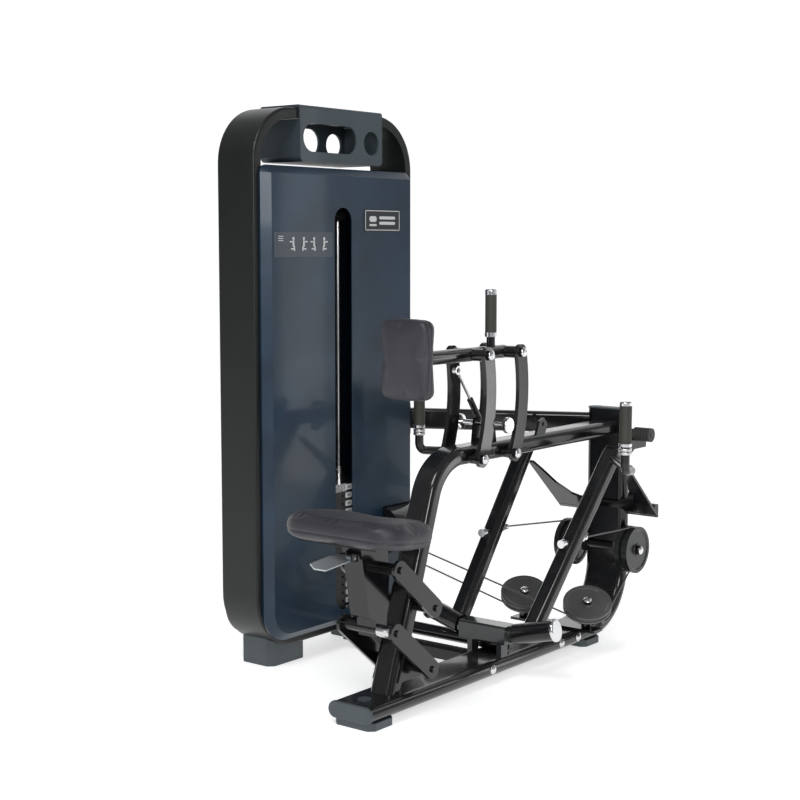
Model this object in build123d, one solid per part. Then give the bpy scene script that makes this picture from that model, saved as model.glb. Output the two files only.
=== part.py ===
"""Seated cable row with two swing arms, an adjustable chest pad and seat, and an enclosed weight tower.

Millimetres, +Z up.  +X is the way the user faces, +Y points from the user's seat to the weight tower.
The parts are drawn about the machine's own centre plane (Y = 0) and moved at the end, so that
the origin lies on the floor under the middle of the whole machine's bounding box.
"""
from math import atan2, cos, degrees, hypot, radians, sin
import os

from build123d import *

# ---------------------------------------------------------------- driving dimensions
# flat-oval rail that runs along the floor and bends up into the rear column
RAIL_WIDE, RAIL_THICK, RAIL_WALL = 140.0, 42.0, 3.0
RAIL_FRONT_X, COLUMN_X = -200.0, 1064.0
RAIL_Z, COLUMN_TOP_Z, RAIL_BEND_R = 42.0, 705.0, 180.0

# spine that rises behind the seat and bends into the level top beam
SPINE_WIDE, SPINE_THICK, SPINE_WALL = 75.0, 48.0, 3.0
SPINE_FOOT_X, BEAM_BEND_X, BEAM_Z, BEAM_BEND_R = -62.0, 142.0, 647.0, 135.0

# weight tower
TOWER_W, TOWER_H, TOWER_DEPTH, TOWER_R = 710.0, 1600.0, 140.0, 160.0
TOWER_Y, TOWER_BOTTOM_Z, BAND_T = 510.0, 60.0, 30.0
TOWER_MID_X = TOWER_W / 2
LOWER_TIE_X, LOWER_TIE_D = 452.0, 38.0
SHROUD_INSET, SHROUD_PROUD, SHROUD_BEVEL, SHROUD_T = 20.0, 28.0, 22.0, 3.0
SHROUD_BOTTOM_Z, SHROUD_TOP_Z, SHROUD_R = 82.0, 1435.0, 95.0
SLOT_W, SLOT_X, SLOT_BOTTOM_Z, SLOT_TOP_Z = 78.0, 348.0, 130.0, 1322.0
COVER_X0, COVER_X1, COVER_BOTTOM_Z, COVER_T = 186.0, 556.0, 1450.0, 6.0
COVER_RISE = 9.0

# weight stack
STACK_Y, STEM_Y = 557.0, 545.0
PLATE_W, PLATE_DEPTH, PLATE_T, PLATE_PITCH = 270.0, 124.0, 24.0, 24.5
PLATE_COUNT, LIFTED_COUNT, STACK_Z = 16, 5, 115.0
ROD_D, ROD_SPREAD, ROD_Y, CROSSHEAD_Z = 25.0, 85.0, 582.0, 1395.0
STEM_D, PIN_D = 22.0, 9.0

# cable and pulleys
CABLE_D, PULLEY_T, GROOVE = 5.0, 20.0, 7.0
SIDE_PULLEY_R, SIDE_PULLEY_T, SIDE_PULLEY = 72.0, 44.0, (1027.0, 108.0, 277.0)
FLOOR_PULLEY_R, FLOOR_PULLEY = 72.0, (760.0, 111.0, 153.0)
FLOOR_PULLEY_AXIS = Vector(-0.42, -0.29, 0.86).normalized()
ENTRY_PULLEY_R, ENTRY_PULLEY_Y, ENTRY_PULLEY_Z = 60.0, 485.0, 340.0
TOP_PULLEY_R, TOP_PULLEY_Z = 45.0, 1330.0
FLOAT_X, FLOAT_Z = 605.0, 1120.0

# swing arms: pivot axes lean outward and up from the pivot block
PIVOT_X, PIVOT_Z, PIVOT_BLOCK_HALF = 401.0, 130.0, 78.0
AXIS_YAW, AXIS_RISE = 8.0, 12.0
PIVOT_TUBE_D, PIVOT_SHAFT_D, PIVOT_TUBE_START, PIVOT_TUBE_LEN = 56.0, 32.0, 14.0, 118.0
ARM_THICK, ARM_WIDE, ARM_R = 42.0, 52.0, 15.0
PADDLE_PIVOT, PADDLE_PIN_D = (-212.0, 440.0), 6.0
RUBBER_ROLL = (986.0, -165.0, 643.0)
ARM_FOOT, ARM_HEAD = Vector(446, 125, 152), Vector(828, 151, 606)
HANDLE_D, GRIP_D, GRIP_LEN = 26.0, 34.0, 112.0
ANCHOR_Z = 368.0

# chest pad parallelogram
LINK_Y, LINK_T, LINK_W, LINK_PIN_D = 60.0, 12.0, 46.0, 16.0
FRONT_PIVOT, REAR_PIVOT, LINK_RISE = (282.0, 637.0), (441.0, 637.0), (26.0, 280.0)
CARRIER_D, CHEST_PAD, CHEST_PAD_R = 38.0, (50.0, 152.0, 210.0), 24.0
CENTRE_GRIP_X = 409.0
STRUT_Y, STRUT_FOOT, STRUT_TIP, STRUT_PIN_D = 40.0, (445.0, 684.0), (303.0, 872.0), 8.0

# seat parallelogram
SEAT_LINK_Y, SEAT_LINK_T, SEAT_LINK_W, SEAT_PIN_D = 85.0, 10.0, 50.0, 18.0
SEAT_UPPER, SEAT_LOWER, SEAT_REACH = (38.0, 277.0), (24.0, 118.0), (-150.0, 125.0)
SEAT_PAD, SEAT_PAD_CENTRE, SEAT_PAD_R, SEAT_TILT = (236.0, 380.0, 60.0), (-168.0, 0.0, 504.0), 78.0, 6.0

STRUT_SLACK = 3.0   # radial room at the strut's upper eye, where the closed linkage is opened
FIT = 0.05      # radial running clearance of a shaft in its bore
GAP = 0.5       # clear space between faces of different moving bodies

parts = {}


# ---------------------------------------------------------------- small helpers
def cyl(start, end, diameter, bore=0.0):
    """Round bar or tube from start to end."""
    start, end = Vector(*start), Vector(*end)
    axis = end - start
    plane = Plane(origin=start, z_dir=axis)
    ring = Circle(diameter / 2) - Circle(bore / 2) if bore else Circle(diameter / 2)
    return extrude(plane * ring, axis.length)


def block(x, y, z, radius=0.0):
    """Box between two X, two Y and two Z values, with its edges along Y rounded."""
    box = Pos((x[0] + x[1]) / 2, (y[0] + y[1]) / 2, (z[0] + z[1]) / 2) * Box(x[1] - x[0], y[1] - y[0], z[1] - z[0])
    return fillet(box.edges().filter_by(Axis.Y), radius) if radius else box


def side_plate(points, y0, y1, radius=0.0):
    """Plate with an outline in X and Z, between two Y values."""
    outline = make_face(Polyline(*[(x, y0, z) for x, z in points], close=True))
    plate = extrude(outline, y1 - y0, dir=(0, 1, 0))
    return fillet(plate.edges().filter_by(Axis.Y), radius) if radius else plate


def bent_tube(points, radius, outer, inner=None):
    """Sweep a section along straight runs joined by arcs; the section's long side lies along Y."""
    path = FilletPolyline(*points, radius=radius)
    start = Vector(*points[0])
    plane = Plane(origin=start, x_dir=(0, 1, 0), z_dir=Vector(*points[1]) - start)
    tube = sweep(plane * outer, path=path)
    return tube - sweep(plane * inner, path=path) if inner else tube


def round_tube(points, radius, diameter):
    """Solid round bar along straight runs joined by arcs."""
    path = FilletPolyline(*points, radius=radius) if len(points) > 2 else Line(*points)
    start = Vector(*points[0])
    return sweep(Plane(origin=start, z_dir=Vector(*points[1]) - start) * Circle(diameter / 2), path=path)


def straight_bar(start, end, section, side=(0, 1, 0)):
    """Bar of a given section from start to end, its X side turned along the given direction."""
    start, end = Vector(*start), Vector(*end)
    axis = (end - start).normalized()
    across = Vector(*side) - axis * Vector(*side).dot(axis)
    return extrude(Plane(origin=start, x_dir=across, z_dir=axis) * section, (end - start).length)


def pulley(centre, axis, radius, thick, bore, groove=GROOVE):
    """Grooved wheel with dished faces, a raised hub and a bore."""
    half = thick / 2
    face = half - 3.0
    outline = [(bore / 2, -half), (bore / 2 + 9, -half), (bore / 2 + 11, -face), (radius - 14, -face),
               (radius - 9, -half), (radius, -half), (radius, -5.5), (radius - groove, -2.8),
               (radius - groove, 2.8), (radius, 5.5), (radius, half), (radius - 9, half),
               (radius - 14, face), (bore / 2 + 11, face), (bore / 2 + 9, half), (bore / 2, half)]
    half_section = make_face(Polyline(*[(r, 0, h) for r, h in outline], close=True))
    wheel = revolve(half_section, Axis.Z)
    return Plane(origin=centre, z_dir=axis) * wheel


def mirrored(shape):
    """The same shape on the other side of the machine's centre plane."""
    return mirror(shape, about=Plane.XZ)


def group(*shapes):
    """Several separate solids kept in one node."""
    solids = [solid for shape in shapes for solid in shape.solids()]
    return Compound(solids) if len(solids) > 1 else solids[0]


# ---------------------------------------------------------------- floor rail, spine and ties
def frame():
    rail_path = [(RAIL_FRONT_X, 0, RAIL_Z), (COLUMN_X, 0, RAIL_Z), (COLUMN_X, 0, COLUMN_TOP_Z)]
    inner = SlotOverall(RAIL_WIDE - 2 * RAIL_WALL, RAIL_THICK - 2 * RAIL_WALL)
    rail = bent_tube(rail_path, RAIL_BEND_R, SlotOverall(RAIL_WIDE, RAIL_THICK), inner)
    parts["base_rail"] = rail

    cap = SlotOverall(RAIL_WIDE + 3, RAIL_THICK + 3)
    front = extrude(Plane(origin=(RAIL_FRONT_X, 0, RAIL_Z), x_dir=(0, 1, 0), z_dir=(-1, 0, 0)) * cap, 8)
    front = fillet(front.faces().sort_by(Axis.X)[0].edges(), 4)
    top = extrude(Plane(origin=(COLUMN_X, 0, COLUMN_TOP_Z), x_dir=(0, 1, 0), z_dir=(0, 0, 1)) * cap, 5)
    top = fillet(top.faces().sort_by(Axis.Z)[-1].edges(), 3)
    rail_top = RAIL_Z + RAIL_THICK / 2
    plug = cyl((-152, -4, rail_top), (-152, -4, rail_top + 4), 36)
    parts["end_caps"] = group(front, top, plug)

    spine_path = [(SPINE_FOOT_X - 12, 0, 28), (BEAM_BEND_X, 0, BEAM_Z), (COLUMN_X - RAIL_THICK / 2, 0, BEAM_Z)]
    section = RectangleRounded(SPINE_WIDE, SPINE_THICK, 16)
    hollow = RectangleRounded(SPINE_WIDE - 2 * SPINE_WALL, SPINE_THICK - 2 * SPINE_WALL, 13)
    spine = bent_tube(spine_path, BEAM_BEND_R, section, hollow)
    spine -= Pos(0, 0, rail_top / 2 - 50) * Box(600, 200, rail_top + 100)
    half = SPINE_WIDE / 2
    for x, z in (FRONT_PIVOT, REAR_PIVOT):
        spine += cyl((x, -LINK_Y + LINK_T / 2 + GAP, z), (x, LINK_Y - LINK_T / 2 - GAP, z), 30)
        spine -= cyl((x, -100, z), (x, 100, z), LINK_PIN_D + 2 * FIT)
    for y in (-half - 6, half):
        spine += side_plate([(-62, 92), (44, 92), (44, 150), (-14, 210)], y, y + 6)
    for x, z in (SEAT_UPPER, SEAT_LOWER):
        reach = SEAT_LINK_Y - SEAT_LINK_T / 2 - GAP
        spine += cyl((x, -reach, z), (x, reach, z), 32)
        spine -= cyl((x, -100, z), (x, 100, z), SEAT_PIN_D + 2 * FIT)
    beam_top = BEAM_Z + SPINE_THICK / 2
    spine += side_plate([(352, beam_top - 2), (402, beam_top - 2), (392, 738), (362, 738)], -26, -18, 0)
    spine += side_plate([(352, beam_top - 2), (402, beam_top - 2), (392, 738), (362, 738)], 18, 26, 0)
    spine -= cyl((377, -40, 722), (377, 40, 722), 14 + 2 * FIT)
    spine += side_plate([(600, beam_top - 2), (646, beam_top - 2), (660, 696), (640, 716), (618, 708)], -30, -22)
    spine -= cyl((634, -40, 698), (634, -10, 698), 12)
    foot_x, foot_z = STRUT_FOOT
    lug = [(foot_x - 16, beam_top - 2), (foot_x + 16, beam_top - 2), (foot_x + 9, foot_z + 12), (foot_x - 9, foot_z + 12)]
    spine += side_plate(lug, 24, 31)
    spine += cyl((foot_x, 28, foot_z), (foot_x, STRUT_Y + 8, foot_z), STRUT_PIN_D)
    parts["spine_beam"] = spine

    tie_start, tie_end = (TOWER_W + 0.0, TOWER_Y + 62, 668), (COLUMN_X - 4, RAIL_WIDE / 2 + 1, 656)
    tie = straight_bar(tie_start, tie_end, RectangleRounded(38, 66, 12), side=(0.8, 0.6, 0))
    tie -= Pos(TOWER_W - 50, TOWER_Y + 60, 668) * Box(100, 200, 200)
    tie -= extrude(Plane.XY.offset(500) * Pos(COLUMN_X, 0) * Rot(0, 0, 90) * SlotOverall(RAIL_WIDE, RAIL_THICK), 300)
    pad_plate = block((TOWER_W, TOWER_W + 8), (TOWER_Y + 8, TOWER_Y + 122), (620, 716))
    along = (Vector(*tie_end) - Vector(*tie_start)).normalized()
    out = Vector(along.Y, -along.X, 0).normalized()
    spot = Vector(tie_start) + along * 440 + out * 19
    lug = Plane(origin=spot - out * 2, x_dir=along, z_dir=out)
    diamond = make_face(Polyline((-44, 6), (0, 26), (44, -6), (0, -26), close=True))
    tie += extrude(lug * diamond, 10)
    tie += extrude(lug * Circle(10), 18)
    parts["upper_tie"] = tie + pad_plate

    guard = side_plate([(374, 28), (410, 24), (428, 34), (428, 58), (374, 58)], RAIL_WIDE / 2 + 1, TOWER_Y)
    guard -= block((378, 424), (60, TOWER_Y - 8), (20, 54))
    tube_z = RAIL_Z + RAIL_THICK / 2 + LOWER_TIE_D / 2
    guard += cyl((LOWER_TIE_X, -30, tube_z), (LOWER_TIE_X, TOWER_Y, tube_z), LOWER_TIE_D, LOWER_TIE_D - 6)
    guard += block((400, LOWER_TIE_X + 24), (TOWER_Y - 8, TOWER_Y), (40, tube_z + 20))
    parts["lower_tie_guard"] = guard


def feet():
    rail_bottom = RAIL_Z - RAIL_THICK / 2
    soles = []
    for x in (-150, 872):
        foot = Pos(x, 0, rail_bottom / 2) * Box(98, 132, rail_bottom)
        foot = chamfer(foot.edges().filter_by(Axis.Z), 16)
        soles.append(fillet(foot.faces().sort_by(Axis.Z)[0].edges(), 3))
    band = extrude(band_plane(TOWER_Y - 30) * RectangleRounded(TOWER_W, TOWER_H - TOWER_BOTTOM_Z, TOWER_R), -220)
    for x in (158, TOWER_W - 158):
        foot = block((x - 78, x + 78), (TOWER_Y + 24, TOWER_Y + 152), (0, 96))
        foot = chamfer(foot.edges().filter_by(Axis.Z), 18)
        foot = fillet(foot.faces().sort_by(Axis.Z)[0].edges(), 3)
        soles.append(foot - band)
    parts["feet"] = group(*soles)


# ---------------------------------------------------------------- weight tower
def band_plane(y):
    """Upright plane with its centre on the tower's middle, facing the user's side."""
    return Plane(origin=(TOWER_MID_X, y, (TOWER_H + TOWER_BOTTOM_Z) / 2), x_dir=(1, 0, 0), z_dir=(0, -1, 0))


def shroud(y_back, proud, facing):
    """Tray with bevelled edges that closes one side of the band; facing is -1 for the user's side."""
    height = SHROUD_TOP_Z - SHROUD_BOTTOM_Z
    plane = Plane(origin=(TOWER_MID_X, y_back, SHROUD_BOTTOM_Z + height / 2), x_dir=(1, 0, 0), z_dir=(0, facing, 0))
    width = TOWER_W - 2 * SHROUD_INSET

    def tray(inset, depth, bevel):
        body = extrude(plane * Rectangle(width - 2 * inset, height - 2 * inset), depth)
        upright = body.edges().filter_by(Axis.Y)
        body = fillet(upright.group_by(Axis.Z)[0], SHROUD_R - inset)
        body = fillet(body.edges().filter_by(Axis.Y).group_by(Axis.Z)[-1], 24 - inset)
        face = body.faces().sort_by(Axis.Y)[0 if facing < 0 else -1]
        return chamfer(face.edges(), bevel)

    bevel = proud - (SHROUD_PROUD - SHROUD_BEVEL)
    return tray(0, proud, bevel) - tray(SHROUD_T, proud - SHROUD_T, bevel - 1)


def tower():
    outer = RectangleRounded(TOWER_W, TOWER_H - TOWER_BOTTOM_Z, TOWER_R)
    inner = RectangleRounded(TOWER_W - 2 * BAND_T, TOWER_H - TOWER_BOTTOM_Z - 2 * BAND_T, TOWER_R - BAND_T)
    band = extrude(band_plane(TOWER_Y) * (outer - inner), -TOWER_DEPTH)
    rims = band.faces().filter_by(Axis.Y)
    outlines = [face.outer_wire().edges() for face in rims]
    band = fillet([edge for wire in outlines for edge in wire], 7)
    parts["tower_band"] = band

    front = shroud(TOWER_Y, SHROUD_PROUD, -1)
    slot_h = SLOT_TOP_Z - SLOT_BOTTOM_Z
    slot = Pos(SLOT_X, TOWER_Y - 15, SLOT_BOTTOM_Z + slot_h / 2) * Rot(90, 0, 0) * Rot(0, 0, 90)
    lip = extrude(slot * SlotOverall(slot_h + 8, SLOT_W + 8), 6.5, both=True)
    lip = lip & block((0, TOWER_W), (TOWER_Y - SHROUD_PROUD - 2, TOWER_Y - SHROUD_PROUD + 6), (0, TOWER_H))
    front = front + lip - extrude(slot * SlotOverall(slot_h, SLOT_W), 40, both=True)
    front -= block((398, LOWER_TIE_X + 26), (TOWER_Y - 40, TOWER_Y + 1), (60, 106))
    front -= block((FLOAT_X - 74, FLOAT_X + 74), (TOWER_Y - 40, TOWER_Y), (ENTRY_PULLEY_Z - 74, ENTRY_PULLEY_Z + 74))
    parts["front_shroud"] = front
    parts["rear_shroud"] = shroud(TOWER_Y + TOWER_DEPTH, 20, 1)
    top_cover()


def top_cover():
    """Bridge over the band's top with two plates, each pierced by a long hand hole and a round hole."""
    y0, y1 = TOWER_Y - COVER_T - 1, TOWER_Y + TOWER_DEPTH + COVER_T + 1
    top_z = TOWER_H + COVER_RISE
    mid_z = (COVER_BOTTOM_Z + top_z) / 2
    mid_x = (COVER_X0 + COVER_X1) / 2
    cover = Pos(mid_x, (y0 + y1) / 2, mid_z) * Box(COVER_X1 - COVER_X0, y1 - y0, top_z - COVER_BOTTOM_Z)
    cover = fillet(cover.edges().filter_by(Axis.Y).group_by(Axis.Z)[0], 16)
    cover = fillet(cover.edges().filter_by(Axis.X).group_by(Axis.Z)[-1], 8)
    room = Pos(mid_x, (y0 + y1) / 2, mid_z)
    room *= Box(COVER_X1 - COVER_X0 - 2 * COVER_T, y1 - y0 - 2 * COVER_T, top_z - COVER_BOTTOM_Z - 2 * COVER_T)
    cover -= room
    cover -= block((0, TOWER_W), (TOWER_Y - 1, TOWER_Y + TOWER_DEPTH + 1), (TOWER_H - BAND_T - 1, TOWER_H + 1))
    long_hole = Pos(318, TOWER_Y, 1519) * Rot(90, 0, 0) * SlotOverall(236, 80)
    cover -= extrude(long_hole, 300, both=True)
    cover -= cyl((505, TOWER_Y - 60, 1515), (505, TOWER_Y + 300, 1515), 70)
    parts["top_cover"] = cover


def tower_inside():
    rods, bumpers = [], []
    inner_floor = TOWER_BOTTOM_Z + BAND_T
    for x in (TOWER_MID_X - ROD_SPREAD, TOWER_MID_X + ROD_SPREAD):
        rods.append(cyl((x, ROD_Y, inner_floor), (x, ROD_Y, CROSSHEAD_Z), ROD_D))
        bumpers.append(cyl((x, ROD_Y, inner_floor), (x, ROD_Y, STACK_Z), 52, ROD_D))
    parts["guide_rods"] = group(*rods)
    parts["stack_bumpers"] = group(*bumpers)

    head = block((BAND_T, TOWER_W - BAND_T), (STEM_Y - 22, ROD_Y + 22), (CROSSHEAD_Z, CROSSHEAD_Z + 12))
    for x in (TOWER_MID_X + TOP_PULLEY_R, FLOAT_X - TOP_PULLEY_R):
        for y in (STEM_Y - PULLEY_T / 2 - 6, STEM_Y + PULLEY_T / 2 + 2):
            head += block((x - 22, x + 22), (y, y + 4), (TOP_PULLEY_Z - 20, CROSSHEAD_Z + 1))
        head += cyl((x, STEM_Y - PULLEY_T / 2 - 8, TOP_PULLEY_Z), (x, STEM_Y + PULLEY_T / 2 + 8, TOP_PULLEY_Z), 12)
    parts["crosshead"] = head

    stay_y = (TOWER_Y - SHROUD_PROUD - 68, TOWER_Y - SHROUD_PROUD)
    hood = cyl((FLOAT_X - 72, ENTRY_PULLEY_Y, ENTRY_PULLEY_Z), (FLOAT_X + 72, ENTRY_PULLEY_Y, ENTRY_PULLEY_Z), 142)
    hood -= cyl((FLOAT_X - 68, ENTRY_PULLEY_Y, ENTRY_PULLEY_Z), (FLOAT_X + 68, ENTRY_PULLEY_Y, ENTRY_PULLEY_Z), 134)
    hood -= block((0, TOWER_W), (stay_y[1], 600), (0, 600))
    hood -= block((FLOAT_X - 67, FLOAT_X + 67), (380, stay_y[1]), (200, ENTRY_PULLEY_Z - 26))
    ears = block((FLOAT_X - 72, FLOAT_X - 68), (stay_y[1], 512), (ENTRY_PULLEY_Z - 40, ENTRY_PULLEY_Z + 40))
    ears += block((FLOAT_X + 68, FLOAT_X + 72), (stay_y[1], 512), (ENTRY_PULLEY_Z - 40, ENTRY_PULLEY_Z + 40))
    axle = cyl((FLOAT_X - 70, ENTRY_PULLEY_Y, ENTRY_PULLEY_Z), (FLOAT_X + 70, ENTRY_PULLEY_Y, ENTRY_PULLEY_Z), 14)
    parts["cable_entry_guard"] = hood + ears + axle


def weight_plate(z, bored=True):
    """One cast weight with two guide holes, a stem hole and a cross hole for the selector pin."""
    y0 = STACK_Y - PLATE_DEPTH / 2
    plate = block((TOWER_MID_X - PLATE_W / 2, TOWER_MID_X + PLATE_W / 2), (y0, y0 + PLATE_DEPTH), (z, z + PLATE_T))
    plate = fillet(plate.edges().filter_by(Axis.Z), 9)
    for x in (-ROD_SPREAD, ROD_SPREAD):
        plate -= cyl((TOWER_MID_X + x, ROD_Y, z - 1), (TOWER_MID_X + x, ROD_Y, z + PLATE_T + 1), ROD_D + 2)
    if bored:
        mid = z + PLATE_T / 2
        plate -= cyl((TOWER_MID_X, STEM_Y, z - 1), (TOWER_MID_X, STEM_Y, z + PLATE_T + 1), STEM_D + 2)
        plate -= cyl((TOWER_MID_X, y0 - 1, mid), (TOWER_MID_X, STEM_Y, mid), PIN_D + 2 * FIT)
    return plate


def weight_stack():
    resting = [weight_plate(STACK_Z + i * PLATE_PITCH) for i in range(PLATE_COUNT - LIFTED_COUNT)]
    first = PLATE_COUNT - LIFTED_COUNT
    lifted = [weight_plate(STACK_Z + i * PLATE_PITCH) for i in range(first, PLATE_COUNT - 1)]
    parts["resting_plates"] = group(*resting)
    parts["lifted_plates"] = group(*lifted)

    top_z = STACK_Z + (PLATE_COUNT - 1) * PLATE_PITCH
    head = weight_plate(top_z, bored=False)
    head += cyl((TOWER_MID_X, STEM_Y, STACK_Z + 4), (TOWER_MID_X, STEM_Y, top_z + 70), STEM_D)
    for x in (-ROD_SPREAD, ROD_SPREAD):
        head += cyl((TOWER_MID_X + x, ROD_Y, top_z), (TOWER_MID_X + x, ROD_Y, top_z + 60), 42, ROD_D + 2)
    for i in range(PLATE_COUNT - 1):
        mid = STACK_Z + i * PLATE_PITCH + PLATE_T / 2
        head -= cyl((TOWER_MID_X, STEM_Y - 20, mid), (TOWER_MID_X, STEM_Y + 8, mid), PIN_D + 2 * FIT)
    parts["stack_head"] = head

    pin_z = STACK_Z + first * PLATE_PITCH + PLATE_T / 2
    y0 = STACK_Y - PLATE_DEPTH / 2
    pin = cyl((TOWER_MID_X, y0 - 14, pin_z), (TOWER_MID_X, STEM_Y + 6, pin_z), PIN_D)
    pin += cyl((TOWER_MID_X, y0 - 34, pin_z), (TOWER_MID_X, y0 - 1, pin_z), 20)
    parts["selector_pin"] = pin

    labels = []
    for i in range(PLATE_COUNT):
        mid = STACK_Z + i * PLATE_PITCH + PLATE_T / 2
        if i < PLATE_COUNT - LIFTED_COUNT:
            labels.append(block((TOWER_MID_X + 14, TOWER_MID_X + 44), (y0 - 1, y0), (mid - 8, mid + 8)))
    face_y = TOWER_Y - SHROUD_PROUD
    labels.append(block((62, 268), (face_y - 1.5, face_y), (1180, 1250)))
    labels.append(block((504, 616), (face_y - 1.5, face_y), (1255, 1320)))
    parts["info_plates"] = group(*labels)


# ---------------------------------------------------------------- pulleys and cable
def pulleys():
    x, y, z = SIDE_PULLEY
    side = pulley((x, y, z), (0, 1, 0), SIDE_PULLEY_R, SIDE_PULLEY_T, 20 + 2 * FIT)
    parts["left_side_pulley"] = side
    parts["right_side_pulley"] = mirrored(side)
    front = COLUMN_X - RAIL_THICK / 2
    mount = cyl((x, -y - 26, z), (x, y + 26, z), 20)
    for side_y in (-62, 50):
        mount += side_plate([(x - 16, z - 20), (front, z - 30), (front, z + 30), (x - 16, z + 20)], side_y, side_y + 12)
    for side_y in (-y - 30, y + 25):
        mount += cyl((x, side_y, z), (x, side_y + 5, z), 30)
    bar = block((776, 824), (-126, 172), (RAIL_Z + RAIL_THICK / 2, RAIL_Z + RAIL_THICK / 2 + 8), 0)
    mounts = [mount]
    x, y, z = FLOOR_PULLEY
    reach = (z - bar.bounding_box().max.Z + 1) / FLOOR_PULLEY_AXIS.Z
    for name, side_y in (("left_floor_pulley", y), ("right_floor_pulley", -y)):
        centre = Vector(x, side_y, z)
        parts[name] = pulley(centre, FLOOR_PULLEY_AXIS, FLOOR_PULLEY_R, PULLEY_T, 16 + 2 * FIT)
        bar += cyl(centre - FLOOR_PULLEY_AXIS * reach, centre + FLOOR_PULLEY_AXIS * 15, 16)
        bar += cyl(centre - FLOOR_PULLEY_AXIS * reach, centre - FLOOR_PULLEY_AXIS * (PULLEY_T / 2 + 2), 30)
        bar += cyl(centre + FLOOR_PULLEY_AXIS * (PULLEY_T / 2 + 1), centre + FLOOR_PULLEY_AXIS * 17, 26)
    mounts.append(bar)
    parts["pulley_brackets"] = group(*mounts)

    for name, entry_x in (("left_entry_pulley", FLOAT_X - TOP_PULLEY_R), ("right_entry_pulley", FLOAT_X + TOP_PULLEY_R)):
        centre = (entry_x, ENTRY_PULLEY_Y, ENTRY_PULLEY_Z)
        parts[name] = pulley(centre, (1, 0, 0), ENTRY_PULLEY_R, PULLEY_T, 14 + 2 * FIT)
    for name, top_x in (("tower_pulley_stack", TOWER_MID_X + TOP_PULLEY_R), ("tower_pulley_outer", FLOAT_X - TOP_PULLEY_R)):
        parts[name] = pulley((top_x, STEM_Y, TOP_PULLEY_Z), (0, 1, 0), TOP_PULLEY_R, PULLEY_T, 12 + 2 * FIT)

    parts["floating_pulley"] = pulley((FLOAT_X, STEM_Y, FLOAT_Z), (0, 1, 0), TOP_PULLEY_R, PULLEY_T, 12 + 2 * FIT)
    yoke = block((FLOAT_X - 14, FLOAT_X + 14), (STEM_Y - 16, STEM_Y + 16), (FLOAT_Z - 20, FLOAT_Z + 66))
    yoke -= block((FLOAT_X - 60, FLOAT_X + 60), (STEM_Y - 12, STEM_Y + 12), (FLOAT_Z - 60, FLOAT_Z + TOP_PULLEY_R + 9))
    yoke += cyl((FLOAT_X, STEM_Y - 18, FLOAT_Z), (FLOAT_X, STEM_Y + 18, FLOAT_Z), 12)
    yoke += cyl((FLOAT_X, STEM_Y, FLOAT_Z + 60), (FLOAT_X, STEM_Y, FLOAT_Z + 92), 14)
    parts["floating_yoke"] = yoke


def wrap(centre, radius, first, last):
    """Cable bent round a wheel, from one direction off its centre to another."""
    centre, first, last = Vector(*centre), Vector(*first).normalized(), Vector(*last).normalized()
    middle = (first + last).normalized()
    start = centre + first * radius
    arc = ThreePointArc(start, centre + middle * radius, centre + last * radius)
    return sweep(Plane(origin=start, z_dir=arc % 0) * Circle(CABLE_D / 2), path=arc)


def seat_radius(wheel_radius):
    """Radius of the cable's centre line on a wheel, clear of the groove's floor."""
    return wheel_radius - GROOVE + CABLE_D / 2 + 0.3


def floor_run(side, entry_x):
    """One arm's cable from the top of its side pulley to the entry pulley's rear."""
    x, y, z = SIDE_PULLEY
    side_r, floor_r, entry_r = (seat_radius(r) for r in (SIDE_PULLEY_R, FLOOR_PULLEY_R, ENTRY_PULLEY_R))
    side_centre = Vector(x, side * y, z)
    floor_centre = Vector(FLOOR_PULLEY[0], side * FLOOR_PULLEY[1], FLOOR_PULLEY[2])
    entry_centre = Vector(entry_x, ENTRY_PULLEY_Y, ENTRY_PULLEY_Z)
    drop = Vector(-0.17, 0, -0.985)
    leave_side = side_centre + drop * side_r
    meet_dir = FLOOR_PULLEY_AXIS.cross(floor_centre - leave_side).normalized()
    meet_dir = meet_dir if meet_dir.Y < 0 else -meet_dir
    entry_dir = Vector(0, 0.35, -0.937)
    leave_dir = FLOOR_PULLEY_AXIS.cross(entry_centre - floor_centre).normalized()
    leave_dir = leave_dir if leave_dir.X < 0 else -leave_dir
    pieces = [wrap(side_centre, side_r, (0, 0, 1), (1, 0, 0)), wrap(side_centre, side_r, (1, 0, 0), drop)]
    wheel = pulley(floor_centre, FLOOR_PULLEY_AXIS, FLOOR_PULLEY_R + 0.4, PULLEY_T + 0.8, 16, GROOVE + 0.1)
    pieces.append(cyl(leave_side, floor_centre + meet_dir * floor_r, CABLE_D) - wheel)
    pieces.append(wrap(floor_centre, floor_r, meet_dir, leave_dir))
    wheel += pulley(entry_centre, (1, 0, 0), ENTRY_PULLEY_R + 0.4, PULLEY_T + 0.8, 14, GROOVE + 0.1)
    pieces.append(cyl(floor_centre + leave_dir * floor_r, entry_centre + entry_dir * entry_r, CABLE_D) - wheel)
    pieces.append(wrap(entry_centre, entry_r, entry_dir, (0, 1, 0)))
    return pieces


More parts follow.
